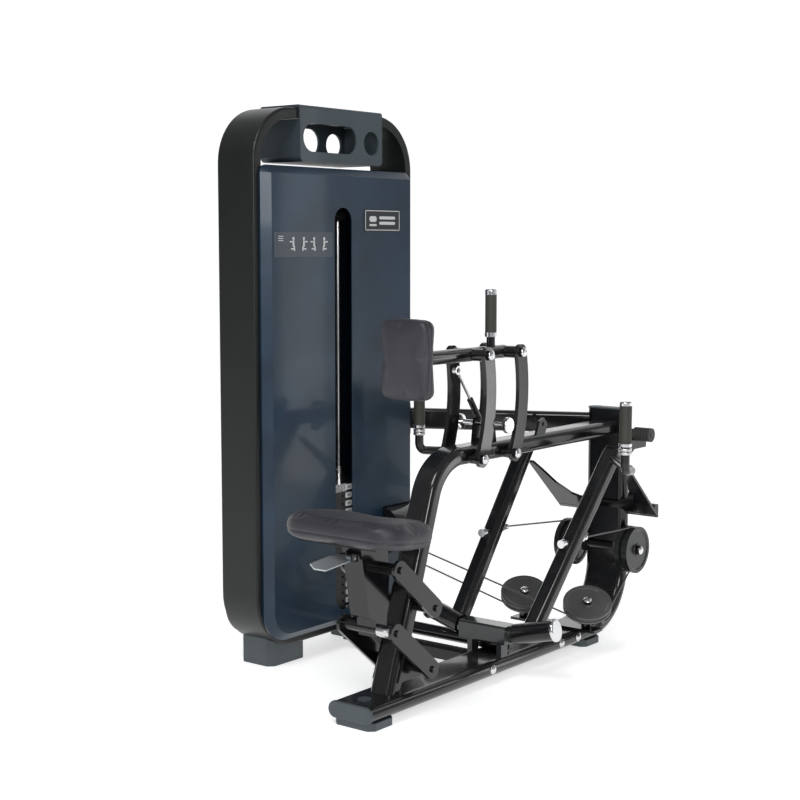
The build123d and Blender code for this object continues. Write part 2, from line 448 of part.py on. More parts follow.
def cables():
    left_x, right_x = FLOAT_X - TOP_PULLEY_R, FLOAT_X + TOP_PULLEY_R
    small_r = seat_radius(TOP_PULLEY_R)
    stack_x, outer_x = TOWER_MID_X + TOP_PULLEY_R, FLOAT_X - TOP_PULLEY_R
    top = TOP_PULLEY_Z + small_r
    fixed = floor_run(1, left_x) + floor_run(-1, right_x)
    fixed.append(wrap((stack_x, STEM_Y, TOP_PULLEY_Z), small_r, (-1, 0, 0), (0, 0, 1)))
    fixed.append(wrap((outer_x, STEM_Y, TOP_PULLEY_Z), small_r, (0, 0, 1), (1, 0, 0)))
    fixed.append(cyl((stack_x, STEM_Y, top), (outer_x, STEM_Y, top), CABLE_D))
    parts["fixed_cables"] = group(*fixed)

    loop = wrap((FLOAT_X, STEM_Y, FLOAT_Z), small_r, (-1, 0, 0.001), (0, 0, 1))
    loop += wrap((FLOAT_X, STEM_Y, FLOAT_Z), small_r, (0, 0, 1), (1, 0, 0.001))
    parts["floating_cable_loop"] = loop

    rear_y = ENTRY_PULLEY_Y + seat_radius(ENTRY_PULLEY_R)
    risers = []
    for entry_x, loop_x in ((left_x, FLOAT_X - small_r), (right_x, FLOAT_X + small_r)):
        risers.append(cyl((entry_x, rear_y, ENTRY_PULLEY_Z + 0.5), (loop_x, STEM_Y, FLOAT_Z - 0.5), CABLE_D))
    parts["riser_cables"] = group(*risers)
    down_x = outer_x + small_r
    yoke_top = FLOAT_Z + 92
    parts["yoke_cable"] = cyl((down_x, STEM_Y, TOP_PULLEY_Z - 0.5), (FLOAT_X, STEM_Y, yoke_top + 0.5), CABLE_D)
    head_top = STACK_Z + (PLATE_COUNT - 1) * PLATE_PITCH + 70
    drop_x = stack_x - small_r
    parts["stack_cable"] = cyl((drop_x, STEM_Y, TOP_PULLEY_Z - 0.5), (TOWER_MID_X, STEM_Y, head_top + 0.5), CABLE_D)

    anchor = anchor_point() + Vector(80, 0, 0)
    x, y, z = SIDE_PULLEY
    span = cyl(anchor, (x - 1, y, z + seat_radius(SIDE_PULLEY_R)), CABLE_D)
    parts["left_cable_span"] = span
    parts["right_cable_span"] = mirrored(span)


def anchor_point():
    """Point on the left arm's centre line where the cable's anchor stud crosses it."""
    direction = (ARM_HEAD - ARM_FOOT).normalized()
    return ARM_FOOT + direction * ((ANCHOR_Z - ARM_FOOT.Z) / direction.Z)


# ---------------------------------------------------------------- swing arms
def pivot_axis():
    """Unit vector of the left arm's pivot, pointing away from the pivot block."""
    yaw, rise = radians(AXIS_YAW), radians(AXIS_RISE)
    return Vector(sin(yaw) * cos(rise), cos(yaw) * cos(rise), sin(rise))


def pivot_block_part():
    x, z = PIVOT_X, PIVOT_Z
    body = block((x - 30, x + 30), (-PIVOT_BLOCK_HALF, PIVOT_BLOCK_HALF), (z - 26, z + 26), 6)
    rail_top = RAIL_Z + RAIL_THICK / 2
    body += block((x - 16, x + 16), (-58, -42), (rail_top, z - 25))
    body += block((x - 16, x + 16), (42, 58), (rail_top, z - 25))
    axis = pivot_axis()
    base = Vector(x, PIVOT_BLOCK_HALF - 6, z)
    end = base + axis * (6 + PIVOT_TUBE_START + PIVOT_TUBE_LEN + 4)
    shaft = cyl(base, end, PIVOT_SHAFT_D)
    shaft += cyl(base, base + axis * (PIVOT_TUBE_START + 2), 46)
    body += shaft
    body += mirrored(shaft)
    parts["pivot_block"] = body


def swing_arm():
    axis = pivot_axis()
    base = Vector(PIVOT_X, PIVOT_BLOCK_HALF - 6, PIVOT_Z)
    start = base + axis * (6 + PIVOT_TUBE_START)
    end = start + axis * PIVOT_TUBE_LEN
    foot, head = ARM_FOOT, ARM_HEAD
    direction = (head - foot).normalized()
    section = RectangleRounded(ARM_WIDE, ARM_THICK, ARM_R)
    arm = straight_bar(foot - direction * 14, head, section)
    arm += cyl(start, end, PIVOT_TUBE_D)
    arm -= cyl(start - axis * 5, end + axis * 5, PIVOT_SHAFT_D + 2 * FIT)
    tube = [head - direction * 22 + Vector(0, 8, 0), Vector(610, 335, 592), Vector(545, 352, 600), Vector(545, 352, 668)]
    path = FilletPolyline(*tube, radius=26)
    handle = sweep(Plane(origin=tube[0], z_dir=tube[1] - tube[0]) * Circle(HANDLE_D / 2), path=path)
    head_plane = Plane(origin=head, z_dir=direction)
    cap = extrude(head_plane * RectangleRounded(ARM_WIDE, ARM_THICK, ARM_R), 4)
    arm = arm + handle + cap
    anchor = anchor_point()
    arm -= cyl(anchor - Vector(60, 0, 0), anchor + Vector(60, 0, 0), 12)
    parts["left_swing_arm"] = arm
    parts["right_swing_arm"] = mirrored(arm)

    post = Vector(545, 352, 668)
    stem = cyl(post, post + Vector(0, 0, GRIP_LEN), HANDLE_D - 2)
    grip = cyl(post + Vector(0, 0, 8), post + Vector(0, 0, GRIP_LEN), GRIP_D, HANDLE_D - 2)
    grip = fillet(grip.edges().filter_by(GeomType.CIRCLE).group_by(Axis.Z)[-1].sort_by(SortBy.LENGTH)[-1], 3)
    parts["left_grip"] = grip
    parts["right_grip"] = mirrored(grip)

    collar = cyl(post, post + Vector(0, 0, 8), 36)
    end_cap = cyl(post + Vector(0, 0, GRIP_LEN), post + Vector(0, 0, GRIP_LEN + 12), 35)
    end_cap = fillet(end_cap.edges().group_by(Axis.Z)[-1], 5)
    grip_core = stem + collar + end_cap
    cover = cyl(end + axis * (4 + GAP), end + axis * 14, 64)
    cover = fillet(cover.edges().filter_by(GeomType.CIRCLE).sort_by(Axis.Y)[-1], 6)
    skirt = cyl(end, end + axis * 8, 50, 40)
    nose = anchor + Vector(43, 0, 0)
    stud = cyl(anchor - Vector(52, 0, 0), anchor + Vector(66, 0, 0), 11.9)
    stud += cyl(anchor - Vector(62, 0, 0), anchor - Vector(45, 0, 0), 24)
    stud += cyl(nose, nose + Vector(10, 0, 0), 22)
    stud += Pos(*(anchor + Vector(70, 0, 0))) * Sphere(9)
    fittings = group(grip_core, cover + skirt, stud)
    parts["left_arm_fittings"] = fittings
    parts["right_arm_fittings"] = mirrored(fittings)


def wing_bracket():
    """Slanted plate on the column with a horn at each end, and an arm that holds a ribbed rubber roll."""
    low, tip = Vector(1068, 0, 381), Vector(885, 0, 543)
    slope = (tip - low).normalized()
    plane = Plane(origin=low, x_dir=(0, 1, 0), z_dir=Vector(0, 1, 0).cross(slope))
    reach = (tip - low).length
    edge = [(150, 205), (130, 135), (98, 82), (55, 56)]
    outline = [(176, 0), (180, reach), (164, reach)] + edge
    outline += [(-y, s) for y, s in reversed(outline)]
    wing = extrude(plane * make_face(Polyline(*outline, close=True)), 4, both=True)
    column = Pos(COLUMN_X, 0, 500) * Rot(0, 0, 90) * SlotOverall(RAIL_WIDE + 1, RAIL_THICK + 1)
    bar = block((COLUMN_X - 12, COLUMN_X + 12), (-172, 172), (384, 420), 8)
    wing = wing + bar - extrude(column, 300, both=True)
    x, y, z = RUBBER_ROLL
    inner = y + 28 + GAP
    arm = side_plate([(902, 572), (934, 564), (984, 596), (1056, 596), (1056, 630), (1012, 634), (1004, 658),
                      (968, 660), (962, 628), (928, 612)], inner, inner + 6)
    arm += block((1040, 1056), (inner, -64), (598, 628))
    arm += cyl((x, y - 30, z), (x, inner + 1, z), 12)
    arm += cyl((918, inner - 8, 584), (918, inner + 14, 584), 18)
    roll = cyl((x, y - 28, z), (x, y + 28, z), 42, 12.6)
    for step in range(-2, 3):
        roll -= cyl((x, y + step * 10 - 1.5, z), (x, y + step * 10 + 1.5, z), 50, 37)
    parts["wing_bracket"] = group(wing, arm - extrude(column, 400, both=True))
    parts["rubber_roll"] = roll


# ---------------------------------------------------------------- chest pad
def link_outline(start, end, bow, width):
    """Centre line of a bowed link from start to end, as an offset band with round ends."""
    mid = ((start[0] + end[0]) / 2 + bow, (start[1] + end[1]) / 2)
    arc = ThreePointArc(start, mid, end)
    return make_face(offset(arc, amount=width / 2, side=Side.BOTH, closed=True, kind=Kind.ARC))


def bowed_links(pivot):
    """Pair of bowed links with a pin at the lower pivot and a pin at the upper one."""
    end = (pivot[0] + LINK_RISE[0], pivot[1] + LINK_RISE[1])
    pair = []
    for y in (-LINK_Y - LINK_T / 2, LINK_Y - LINK_T / 2):
        plane = Plane(origin=(0, y + LINK_T, 0), x_dir=(1, 0, 0), z_dir=(0, -1, 0))
        plate = extrude(plane * link_outline(pivot, end, 22, LINK_W), LINK_T)
        pair.append(plate)
    pins = []
    for x, z in (pivot, end):
        reach = LINK_Y + LINK_T / 2
        pin = cyl((x, -reach - 1, z), (x, reach + 1, z), LINK_PIN_D)
        for side in (-1, 1):
            head = cyl((x, side * reach, z), (x, side * (reach + 9), z), 26)
            pin += fillet(head.edges().filter_by(GeomType.CIRCLE).sort_by(Axis.Y)[0 if side < 0 else -1], 5)
        pins.append(pin)
    return pair[0] + pair[1] + pins[0] + pins[1]


def chest_pad():
    tip_x, tip_z = STRUT_TIP
    stud = cyl((tip_x, STRUT_Y - 8, tip_z), (tip_x, LINK_Y, tip_z), STRUT_PIN_D)
    parts["front_links"] = bowed_links(FRONT_PIVOT) + stud
    parts["rear_links"] = bowed_links(REAR_PIVOT)
    gas_strut("pad_strut", STRUT_FOOT, STRUT_TIP, STRUT_Y, 18, 8, 0.55)

    top_z = FRONT_PIVOT[1] + LINK_RISE[1]
    reach = LINK_Y - LINK_T / 2 - GAP
    carrier = cyl((62, 0, top_z), (REAR_PIVOT[0] + LINK_RISE[0] + 4, 0, top_z), CARRIER_D)
    for pivot_x in (FRONT_PIVOT[0], REAR_PIVOT[0]):
        x = pivot_x + LINK_RISE[0]
        slack = FIT if pivot_x == FRONT_PIVOT[0] else 1.5
        carrier += cyl((x, -reach, top_z), (x, reach, top_z), 34)
        carrier -= cyl((x, -99, top_z), (x, 99, top_z), LINK_PIN_D + 2 * slack)
    carrier += block((56, 62), (-45, 45), (top_z - 60, top_z + 60))
    carrier += cyl((CENTRE_GRIP_X, 0, top_z), (CENTRE_GRIP_X, 0, top_z + 44), 24)
    parts["pad_carrier"] = carrier

    depth, width, height = CHEST_PAD
    pad = Pos(56 - depth / 2, 0, top_z + 2) * Box(depth, width, height)
    pad = fillet(pad.edges().filter_by(Axis.X), CHEST_PAD_R)
    pad = fillet(pad.faces().sort_by(Axis.X)[0].edges(), 16)
    parts["chest_pad"] = pad

    base = Vector(CENTRE_GRIP_X, 0, top_z + 44)
    collar = cyl(base, base + Vector(0, 0, 12), 34)
    tip = fillet(cyl(base + Vector(0, 0, 116), base + Vector(0, 0, 132), 33).edges().group_by(Axis.Z)[-1], 5)
    grip = cyl(base + Vector(0, 0, 12), base + Vector(0, 0, 116), 32)
    parts["centre_grip"] = grip
    parts["centre_grip_fittings"] = group(collar, tip)

    rod = cyl((377, -88, 722), (377, 88, 722), 14)
    for side in (-1, 1):
        disc = cyl((377, side * 74, 722), (377, side * 88, 722), 44)
        rod += fillet(disc.edges().filter_by(GeomType.CIRCLE), 3)
    parts["pad_release_rod"] = rod


def gas_strut(name, foot, tip, y, body_d, rod_d, body_share):
    """Gas spring in the plane Y = y: a cylinder from its foot eye and a rod to its upper eye."""
    run = hypot(tip[0] - foot[0], tip[1] - foot[1])
    ux, uz = (tip[0] - foot[0]) / run, (tip[1] - foot[1]) / run

    def at(distance):
        return (foot[0] + ux * distance, y, foot[1] + uz * distance)

    body = cyl(at(8), at(run * body_share), body_d)
    body += cyl((foot[0], y - 6, foot[1]), (foot[0], y + 6, foot[1]), 20)
    body -= cyl((foot[0], y - 8, foot[1]), (foot[0], y + 8, foot[1]), STRUT_PIN_D + 2 * FIT)
    body -= cyl(at(14), at(run), rod_d + 2 * FIT)
    rod = cyl(at(run * 0.22), at(run - 8), rod_d)
    rod += cyl((tip[0], y - 6, tip[1]), (tip[0], y + 6, tip[1]), 24)
    rod -= cyl((tip[0], y - 8, tip[1]), (tip[0], y + 8, tip[1]), STRUT_PIN_D + 2 * STRUT_SLACK)
    parts[name + "_cylinder"] = body
    parts[name + "_rod"] = rod


# ---------------------------------------------------------------- seat
def tilted(shape):
    """Lean a shape drawn about the seat pad's centre forward, and place it there."""
    return Pos(*SEAT_PAD_CENTRE) * Rot(0, SEAT_TILT, 0) * shape


def seat():
    for name, pivot in (("seat_upper_links", SEAT_UPPER), ("seat_lower_links", SEAT_LOWER)):
        end = (pivot[0] + SEAT_REACH[0], pivot[1] + SEAT_REACH[1])
        run = hypot(*SEAT_REACH)
        angle = degrees(atan2(SEAT_REACH[1], SEAT_REACH[0]))
        solids = []
        for y in (-SEAT_LINK_Y - SEAT_LINK_T / 2, SEAT_LINK_Y - SEAT_LINK_T / 2):
            plane = Plane(origin=(pivot[0], y + SEAT_LINK_T, pivot[1]), x_dir=(1, 0, 0), z_dir=(0, -1, 0))
            slab = plane * Rot(0, 0, angle) * Pos(run / 2, 0) * SlotOverall(run + SEAT_LINK_W, SEAT_LINK_W)
            plate = extrude(slab, SEAT_LINK_T)
            solids.append(plate)
        link = solids
        reach = SEAT_LINK_Y + SEAT_LINK_T / 2
        pins = []
        for x, z in (pivot, end):
            pins.append(cyl((x, -reach - 6, z), (x, reach + 6, z), SEAT_PIN_D))
        body = link[0] + link[1] + pins[0] + pins[1]
        parts[name] = body

    top, low = SEAT_UPPER, SEAT_LOWER
    fu = (top[0] + SEAT_REACH[0], top[1] + SEAT_REACH[1])
    fl = (low[0] + SEAT_REACH[0], low[1] + SEAT_REACH[1])
    post = side_plate([(-200, 473), (-92, 462), (fu[0] + 28, 372), (fl[0] + 28, 226), (fl[0] - 6, 224),
                       (fl[0] - 14, 268), (-164, 282)], -31, 31)
    post -= side_plate([(-190, 456), (-100, 448), (fu[0] + 20, 372), (fl[0] + 22, 270), (-158, 290)], -27, 27)
    reach = SEAT_LINK_Y - SEAT_LINK_T / 2 - GAP
    for x, z, slack in ((fu[0], fu[1], 1.5), (fl[0], fl[1], FIT)):
        post += cyl((x, -reach, z), (x, reach, z), 30 if z > 300 else 26)
        post -= cyl((x, -99, z), (x, 99, z), SEAT_PIN_D + 2 * slack)
    post += tilted(Pos(0, 0, -SEAT_PAD[2] / 2 - 3 - GAP / 2) * Box(170, 250, 6))
    x, z = PADDLE_PIVOT
    for y in (-23, 18):
        post += block((x - 9, -199), (y, y + 5), (z - 9, z + 9))
    post -= cyl((x, -30, z), (x, 30, z), PADDLE_PIN_D + 2 * FIT)
    parts["seat_carrier"] = post

    length, width, height = SEAT_PAD
    pad = Box(length, width, height)
    pad = fillet(pad.edges().filter_by(Axis.Z), SEAT_PAD_R)
    pad = fillet(pad.faces().sort_by(Axis.Z)[-1].edges(), 22)
    pad = fillet(pad.faces().sort_by(Axis.Z)[0].edges(), 8)
    parts["seat_pad"] = tilted(pad)

    x, z = PADDLE_PIVOT
    blade = make_face(Polyline((4, -14), (4, 14), (-40, 26), (-112, 24), (-118, 4), (-96, -16), close=True))
    paddle = extrude(Pos(x, 0, z) * Rot(24, -6, 0) * blade, 2, both=True)
    paddle += cyl((x, -16, z), (x, 16, z), 12)
    paddle += cyl((x, -24, z), (x, 24, z), PADDLE_PIN_D)
    parts["seat_paddle"] = paddle


def build():
    frame()
    feet()
    tower()
    tower_inside()
    weight_stack()
    pulleys()
    cables()
    pivot_block_part()
    swing_arm()
    wing_bracket()
    chest_pad()
    seat()


build()

boxes = [part.bounding_box() for part in parts.values()]
low = [min(getattr(box.min, side) for box in boxes) for side in "XYZ"]
high = [max(getattr(box.max, side) for box in boxes) for side in "XYZ"]
shift = (-(low[0] + high[0]) / 2, -(low[1] + high[1]) / 2, -low[2])
print("shift", [round(value, 3) for value in shift])
print("size", [round(high[i] - low[i], 1) for i in range(3)])
os.makedirs("parts", exist_ok=True)
for old in os.listdir("parts"):
    os.remove(os.path.join("parts", old))
for name, shape in parts.items():
    export_step(Pos(*shift) * group(shape), f"parts/{name}.step")
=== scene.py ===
"""Visual model of a seated cable row: finishes, upholstery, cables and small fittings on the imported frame."""

import logging
import math
from dataclasses import dataclass, field
from enum import Enum
from typing import Sequence

import bmesh
import bpy
from mathutils import Matrix, Vector

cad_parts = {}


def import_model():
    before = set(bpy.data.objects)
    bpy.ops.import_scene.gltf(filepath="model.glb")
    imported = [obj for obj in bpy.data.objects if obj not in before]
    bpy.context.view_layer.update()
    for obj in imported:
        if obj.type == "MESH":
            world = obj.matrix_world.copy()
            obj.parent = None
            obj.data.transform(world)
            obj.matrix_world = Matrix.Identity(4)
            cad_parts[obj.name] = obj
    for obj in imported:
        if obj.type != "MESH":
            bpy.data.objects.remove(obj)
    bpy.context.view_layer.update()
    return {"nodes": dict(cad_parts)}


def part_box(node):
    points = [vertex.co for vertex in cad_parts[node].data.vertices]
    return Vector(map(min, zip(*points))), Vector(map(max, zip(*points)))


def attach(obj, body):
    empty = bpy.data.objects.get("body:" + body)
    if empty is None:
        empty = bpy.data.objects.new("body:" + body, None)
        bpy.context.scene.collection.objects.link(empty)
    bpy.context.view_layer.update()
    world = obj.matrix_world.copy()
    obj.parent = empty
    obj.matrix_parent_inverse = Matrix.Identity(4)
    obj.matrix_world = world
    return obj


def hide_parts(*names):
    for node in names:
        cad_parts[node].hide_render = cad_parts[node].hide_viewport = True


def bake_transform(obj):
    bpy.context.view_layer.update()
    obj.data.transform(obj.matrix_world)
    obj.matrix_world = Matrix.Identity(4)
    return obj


log = logging.getLogger("cable_row")
Point = tuple[float, float, float]
Colour = tuple[float, float, float]

BAND_CORNER = Vector((0.0, 510.0, 60.0))
DUST_COLOUR = (0.35, 0.34, 0.32, 1.0)
RIGHT = Vector((1.0, 0.0, 0.0))
UP = Vector((0.0, 0.0, 1.0))


def at(x: float, y: float, z: float) -> Vector:
    """Row-frame point in metres of a point given in millimetres from the machine's own centre plane."""
    return Vector(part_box("tower_band")[0]) + (Vector((x, y, z)) - BAND_CORNER) / 1000.0


class Stroke(Enum):
    """How a bump pattern runs over a surface."""

    GRAIN = "grain"
    PEBBLE = "pebble"
    RINGS = "rings"
    STRANDS = "strands"


class Wire:
    """A shader socket that takes part in arithmetic; each operator adds one Math node."""

    def __init__(self, graph: "Graph", socket: bpy.types.NodeSocket) -> None:
        """Keep the graph and the socket."""
        self.graph = graph
        self.socket = socket

    def _math(self, operation: str, first: "Wire | float", second: "Wire | float") -> "Wire":
        """Add a Math node.

        Args:
            operation: name of the Math node's operation.
            first: first operand.
            second: second operand.

        Returns:
            The node's result.
        """
        return self.graph.add("ShaderNodeMath", {"operation": operation}, {0: first, 1: second})

    def __add__(self, other: "Wire | float") -> "Wire":
        """Sum."""
        return self._math("ADD", self, other)

    __radd__ = __add__

    def __mul__(self, other: "Wire | float") -> "Wire":
        """Product."""
        return self._math("MULTIPLY", self, other)

    __rmul__ = __mul__

    def __sub__(self, other: "Wire | float") -> "Wire":
        """Difference."""
        return self._math("SUBTRACT", self, other)

    def __rsub__(self, other: "Wire | float") -> "Wire":
        """Difference from a number."""
        return self._math("SUBTRACT", other, self)


class Graph:
    """Node tree of one material."""

    def __init__(self, name: str) -> None:
        """Create an empty material.

        Args:
            name: the material's name.
        """
        self.material = bpy.data.materials.new(name)
        self.material.use_nodes = True
        self.tree = self.material.node_tree
        self.tree.nodes.clear()

    def add(self, kind: str, settings: dict, inputs: dict, output: int | str = 0) -> Wire:
        """Add one node.

        Args:
            kind: the node's type.
            settings: its properties, and "stops" for a colour ramp.
            inputs: values or wires by socket name or index.
            output: which output to return.

        Returns:
            The chosen output.
        """
        node = self.tree.nodes.new(kind)
        for key, value in settings.items():
            if key == "stops":
                ramp = node.color_ramp
                while len(ramp.elements) < len(value):
                    ramp.elements.new(1.0)
                for element, (place, shade) in zip(ramp.elements, value):
                    element.position = place
                    element.color = (*shade, 1.0)
            else:
                setattr(node, key, value)
        for key, value in inputs.items():
            if isinstance(value, Wire):
                self.tree.links.new(value.socket, node.inputs[key])
            else:
                node.inputs[key].default_value = value
        return Wire(self, node.outputs[output])

    def place(self) -> Wire:
        """Object coordinates in metres."""
        return self.add("ShaderNodeTexCoord", {}, {}, "Object")

    def noise(self, scale: float, detail: float = 3.0, stretch: Point = (1.0, 1.0, 1.0)) -> Wire:
        """Noise over the surface.

        Args:
            scale: cells per metre.
            detail: octaves.
            stretch: factor on each axis.

        Returns:
            Noise from 0 to 1.
        """
        spot = self.add("ShaderNodeMapping", {}, {"Vector": self.place(), "Scale": stretch})
        return self.add("ShaderNodeTexNoise", {}, {"Vector": spot, "Scale": scale, "Detail": detail}, "Fac")

    def ramp(self, wire: Wire, stops: Sequence[tuple[float, Colour]]) -> Wire:
        """Colour ramp over a value."""
        return self.add("ShaderNodeValToRGB", {"stops": stops}, {"Fac": wire})

    def finish(self, base: "Wire | tuple", roughness: "Wire | float", bump: Wire | None, strength: float,
               depth: float, **fixed: "float | tuple") -> bpy.types.Material:
        """Close the graph with one Principled shader.

        Args:
            base: base colour.
            roughness: roughness.
            bump: height that feeds a Bump node, if any.
            strength: the bump's strength.
            depth: the bump's distance in metres.
            **fixed: further shader sockets with constant values, by name with underscores for spaces.

        Returns:
            The material.
        """
        inputs: dict = {"Base Color": base, "Roughness": roughness}
        inputs.update({key.replace("_", " "): value for key, value in fixed.items()})
        if bump is not None:
            inputs["Normal"] = self.add("ShaderNodeBump", {},
                                        {"Height": bump, "Strength": strength, "Distance": depth})
        shader = self.add("ShaderNodeBsdfPrincipled", {}, inputs)
        self.add_output(shader)
        return self.material

    def add_output(self, shader: Wire) -> None:
        """Join a shader to the material's output."""
        end = self.tree.nodes.new("ShaderNodeOutputMaterial")
        self.tree.links.new(shader.socket, end.inputs["Surface"])


def shade(colour: Colour, factor: float) -> Colour:
    """A colour made lighter or darker."""
    return (colour[0] * factor, colour[1] * factor, colour[2] * factor)


@dataclass(frozen=True)
class Paint:
    """Sprayed or moulded finish with orange peel, dust on top faces and light handling marks."""

    name: str
    colour: Colour
    roughness: float = 0.16
    metallic: float = 0.0
    coat: float = 0.5
    peel: float = 260.0
    peel_strength: float = 0.05
    spread: float = 0.18
    dust: float = 0.07
    shine: float = 0.35

    def material(self) -> bpy.types.Material:
        """Build the material."""
        graph = Graph(self.name)
        cloud = graph.noise(6.0, 4.0)
        dark, light = shade(self.colour, 1.0 - self.spread), shade(self.colour, 1.0 + self.spread)
        tone = graph.ramp(cloud, [(0.3, dark), (0.7, light)])
        up = graph.add("ShaderNodeSeparateXYZ", {}, {0: graph.add("ShaderNodeNewGeometry", {}, {}, "Normal")}, 2)
        lying = graph.add("ShaderNodeMath", {"operation": "SMOOTH_MIN"}, {0: up, 1: 1.0, 2: 0.1})
        settled = graph.add("ShaderNodeClamp", {}, {0: lying * graph.noise(40.0, 5.0) * self.dust})
        base = graph.add("ShaderNodeMix", {"data_type": "RGBA"}, {0: settled, 6: tone, 7: DUST_COLOUR}, 2)
        rough = graph.noise(18.0, 5.0) * 0.10 + settled * 0.8 + (self.roughness - 0.04)
        return graph.finish(base, rough, graph.noise(self.peel, 2.0), self.peel_strength, 0.0006,
                            Metallic=self.metallic, Coat_Weight=self.coat, Coat_Roughness=0.06,
                            Specular_IOR_Level=self.shine)


@dataclass(frozen=True)
class Bright:
    """Plated or bare metal with fine polishing marks."""

    name: str
    colour: Colour = (0.78, 0.78, 0.79)
    roughness: float = 0.14
    stretch: Point = (1.0, 1.0, 30.0)

    def material(self) -> bpy.types.Material:
        """Build the material."""
        graph = Graph(self.name)
        marks = graph.noise(90.0, 5.0, self.stretch)
        base = graph.ramp(marks, [(0.25, shade(self.colour, 0.86)), (0.75, self.colour)])
        return graph.finish(base, marks * 0.14 + (self.roughness - 0.05), marks, 0.04, 0.0004, Metallic=1.0)


@dataclass(frozen=True)
class Textured:
    """Soft or cast finish whose surface carries a fine relief."""

    name: str
    colour: Colour
    stroke: Stroke
    scale: float
    depth: float
    roughness: float = 0.55
    sheen: float = 0.0
    strength: float = 0.35

    def relief(self, graph: Graph) -> Wire:
        """Height of the relief.

        Args:
            graph: the material's node tree.

        Returns:
            Height from 0 to 1.
        """
        spot = graph.place()
        if self.stroke is Stroke.PEBBLE:
            cells = graph.add("ShaderNodeTexVoronoi", {"feature": "SMOOTH_F1"},
                              {"Vector": spot, "Scale": self.scale}, "Distance")
            return cells * 0.7 + graph.noise(self.scale * 0.4, 4.0) * 0.5
        if self.stroke is Stroke.RINGS:
            return graph.add("ShaderNodeTexWave", {"bands_direction": "Z"},
                             {"Vector": spot, "Scale": self.scale, "Distortion": 0.6, "Detail": 1.0}, "Fac")
        if self.stroke is Stroke.STRANDS:
            return graph.add("ShaderNodeTexWave", {"bands_direction": "DIAGONAL"},
                             {"Vector": spot, "Scale": self.scale, "Distortion": 0.3, "Detail": 1.0}, "Fac")
        return graph.noise(self.scale, 6.0)

    def material(self) -> bpy.types.Material:
        """Build the material."""
        graph = Graph(self.name)
        relief = self.relief(graph)
        cloud = graph.noise(9.0, 4.0) * 0.6 + relief * 0.4
        base = graph.ramp(cloud, [(0.25, shade(self.colour, 0.80)), (0.75, shade(self.colour, 1.18))])
        rough = graph.noise(14.0, 4.0) * 0.16 + (self.roughness - 0.08)
        return graph.finish(base, rough, relief, self.strength, self.depth,
                            Sheen_Weight=self.sheen, Sheen_Roughness=0.5)


GLOSS_BLACK = Paint("gloss_black", (0.006, 0.006, 0.007), roughness=0.15, coat=0.35)
SATIN_BAND = Paint("satin_band", (0.006, 0.007, 0.007), roughness=0.34, coat=0.05, peel=420.0, peel_strength=0.12)
NAVY = Paint("navy_panel", (0.010, 0.027, 0.050), roughness=0.30, coat=0.15, metallic=0.1, spread=0.3, dust=0.05)
COVER_GREY = Paint("cover_grey", (0.040, 0.056, 0.066), roughness=0.38, coat=0.1, peel=500.0, peel_strength=0.12)
FOOT_GREY = Paint("foot_grey", (0.060, 0.074, 0.082), roughness=0.42, coat=0.05, peel=480.0, peel_strength=0.15)
BLOCK_GREY = Paint("block_grey", (0.026, 0.028, 0.029), roughness=0.16, coat=0.7, metallic=0.3)
WHEEL_GREY = Paint("wheel_grey", (0.095, 0.098, 0.092), roughness=0.28, coat=0.3, peel=350.0)
WHEEL_BLACK = Paint("wheel_black", (0.010, 0.011, 0.011), roughness=0.30, coat=0.25)
LABEL_WHITE = Paint("label_white", (0.56, 0.57, 0.57), roughness=0.45, coat=0.0, spread=0.05)
PLACARD_GREY = Paint("placard_grey", (0.050, 0.062, 0.078), roughness=0.36, coat=0.1, spread=0.08)
INK = Paint("ink", (0.015, 0.018, 0.022), roughness=0.4, coat=0.0, spread=0.05)
SILVER_PAINT = Paint("silver_paint", (0.42, 0.45, 0.47), roughness=0.28, metallic=0.6, coat=0.2)
CHROME = Bright("chrome_plate")
SHAFT = Bright("ground_shaft", (0.66, 0.66, 0.67), 0.2)
BRUSHED = Bright("brushed_aluminium", (0.72, 0.72, 0.71), 0.32, (30.0, 1.0, 1.0))
CAST_BLACK = Textured("cast_black", (0.022, 0.022, 0.023), Stroke.GRAIN, 240.0, 0.0008, 0.5)
UPHOLSTERY = Textured("grained_vinyl", (0.024, 0.0235, 0.031), Stroke.PEBBLE, 620.0, 0.0005, 0.45, 0.05, 0.22)
RUBBER = Textured("ribbed_rubber", (0.034, 0.034, 0.026), Stroke.RINGS, 90.0, 0.0009, 0.62, 0.0, 0.4)
STOP_RUBBER = Textured("stop_rubber", (0.035, 0.034, 0.032), Stroke.GRAIN, 300.0, 0.0006, 0.6)
STEEL_CABLE = Textured("steel_cable", (0.10, 0.10, 0.10), Stroke.STRANDS, 260.0, 0.0006, 0.35, 0.0, 0.5)


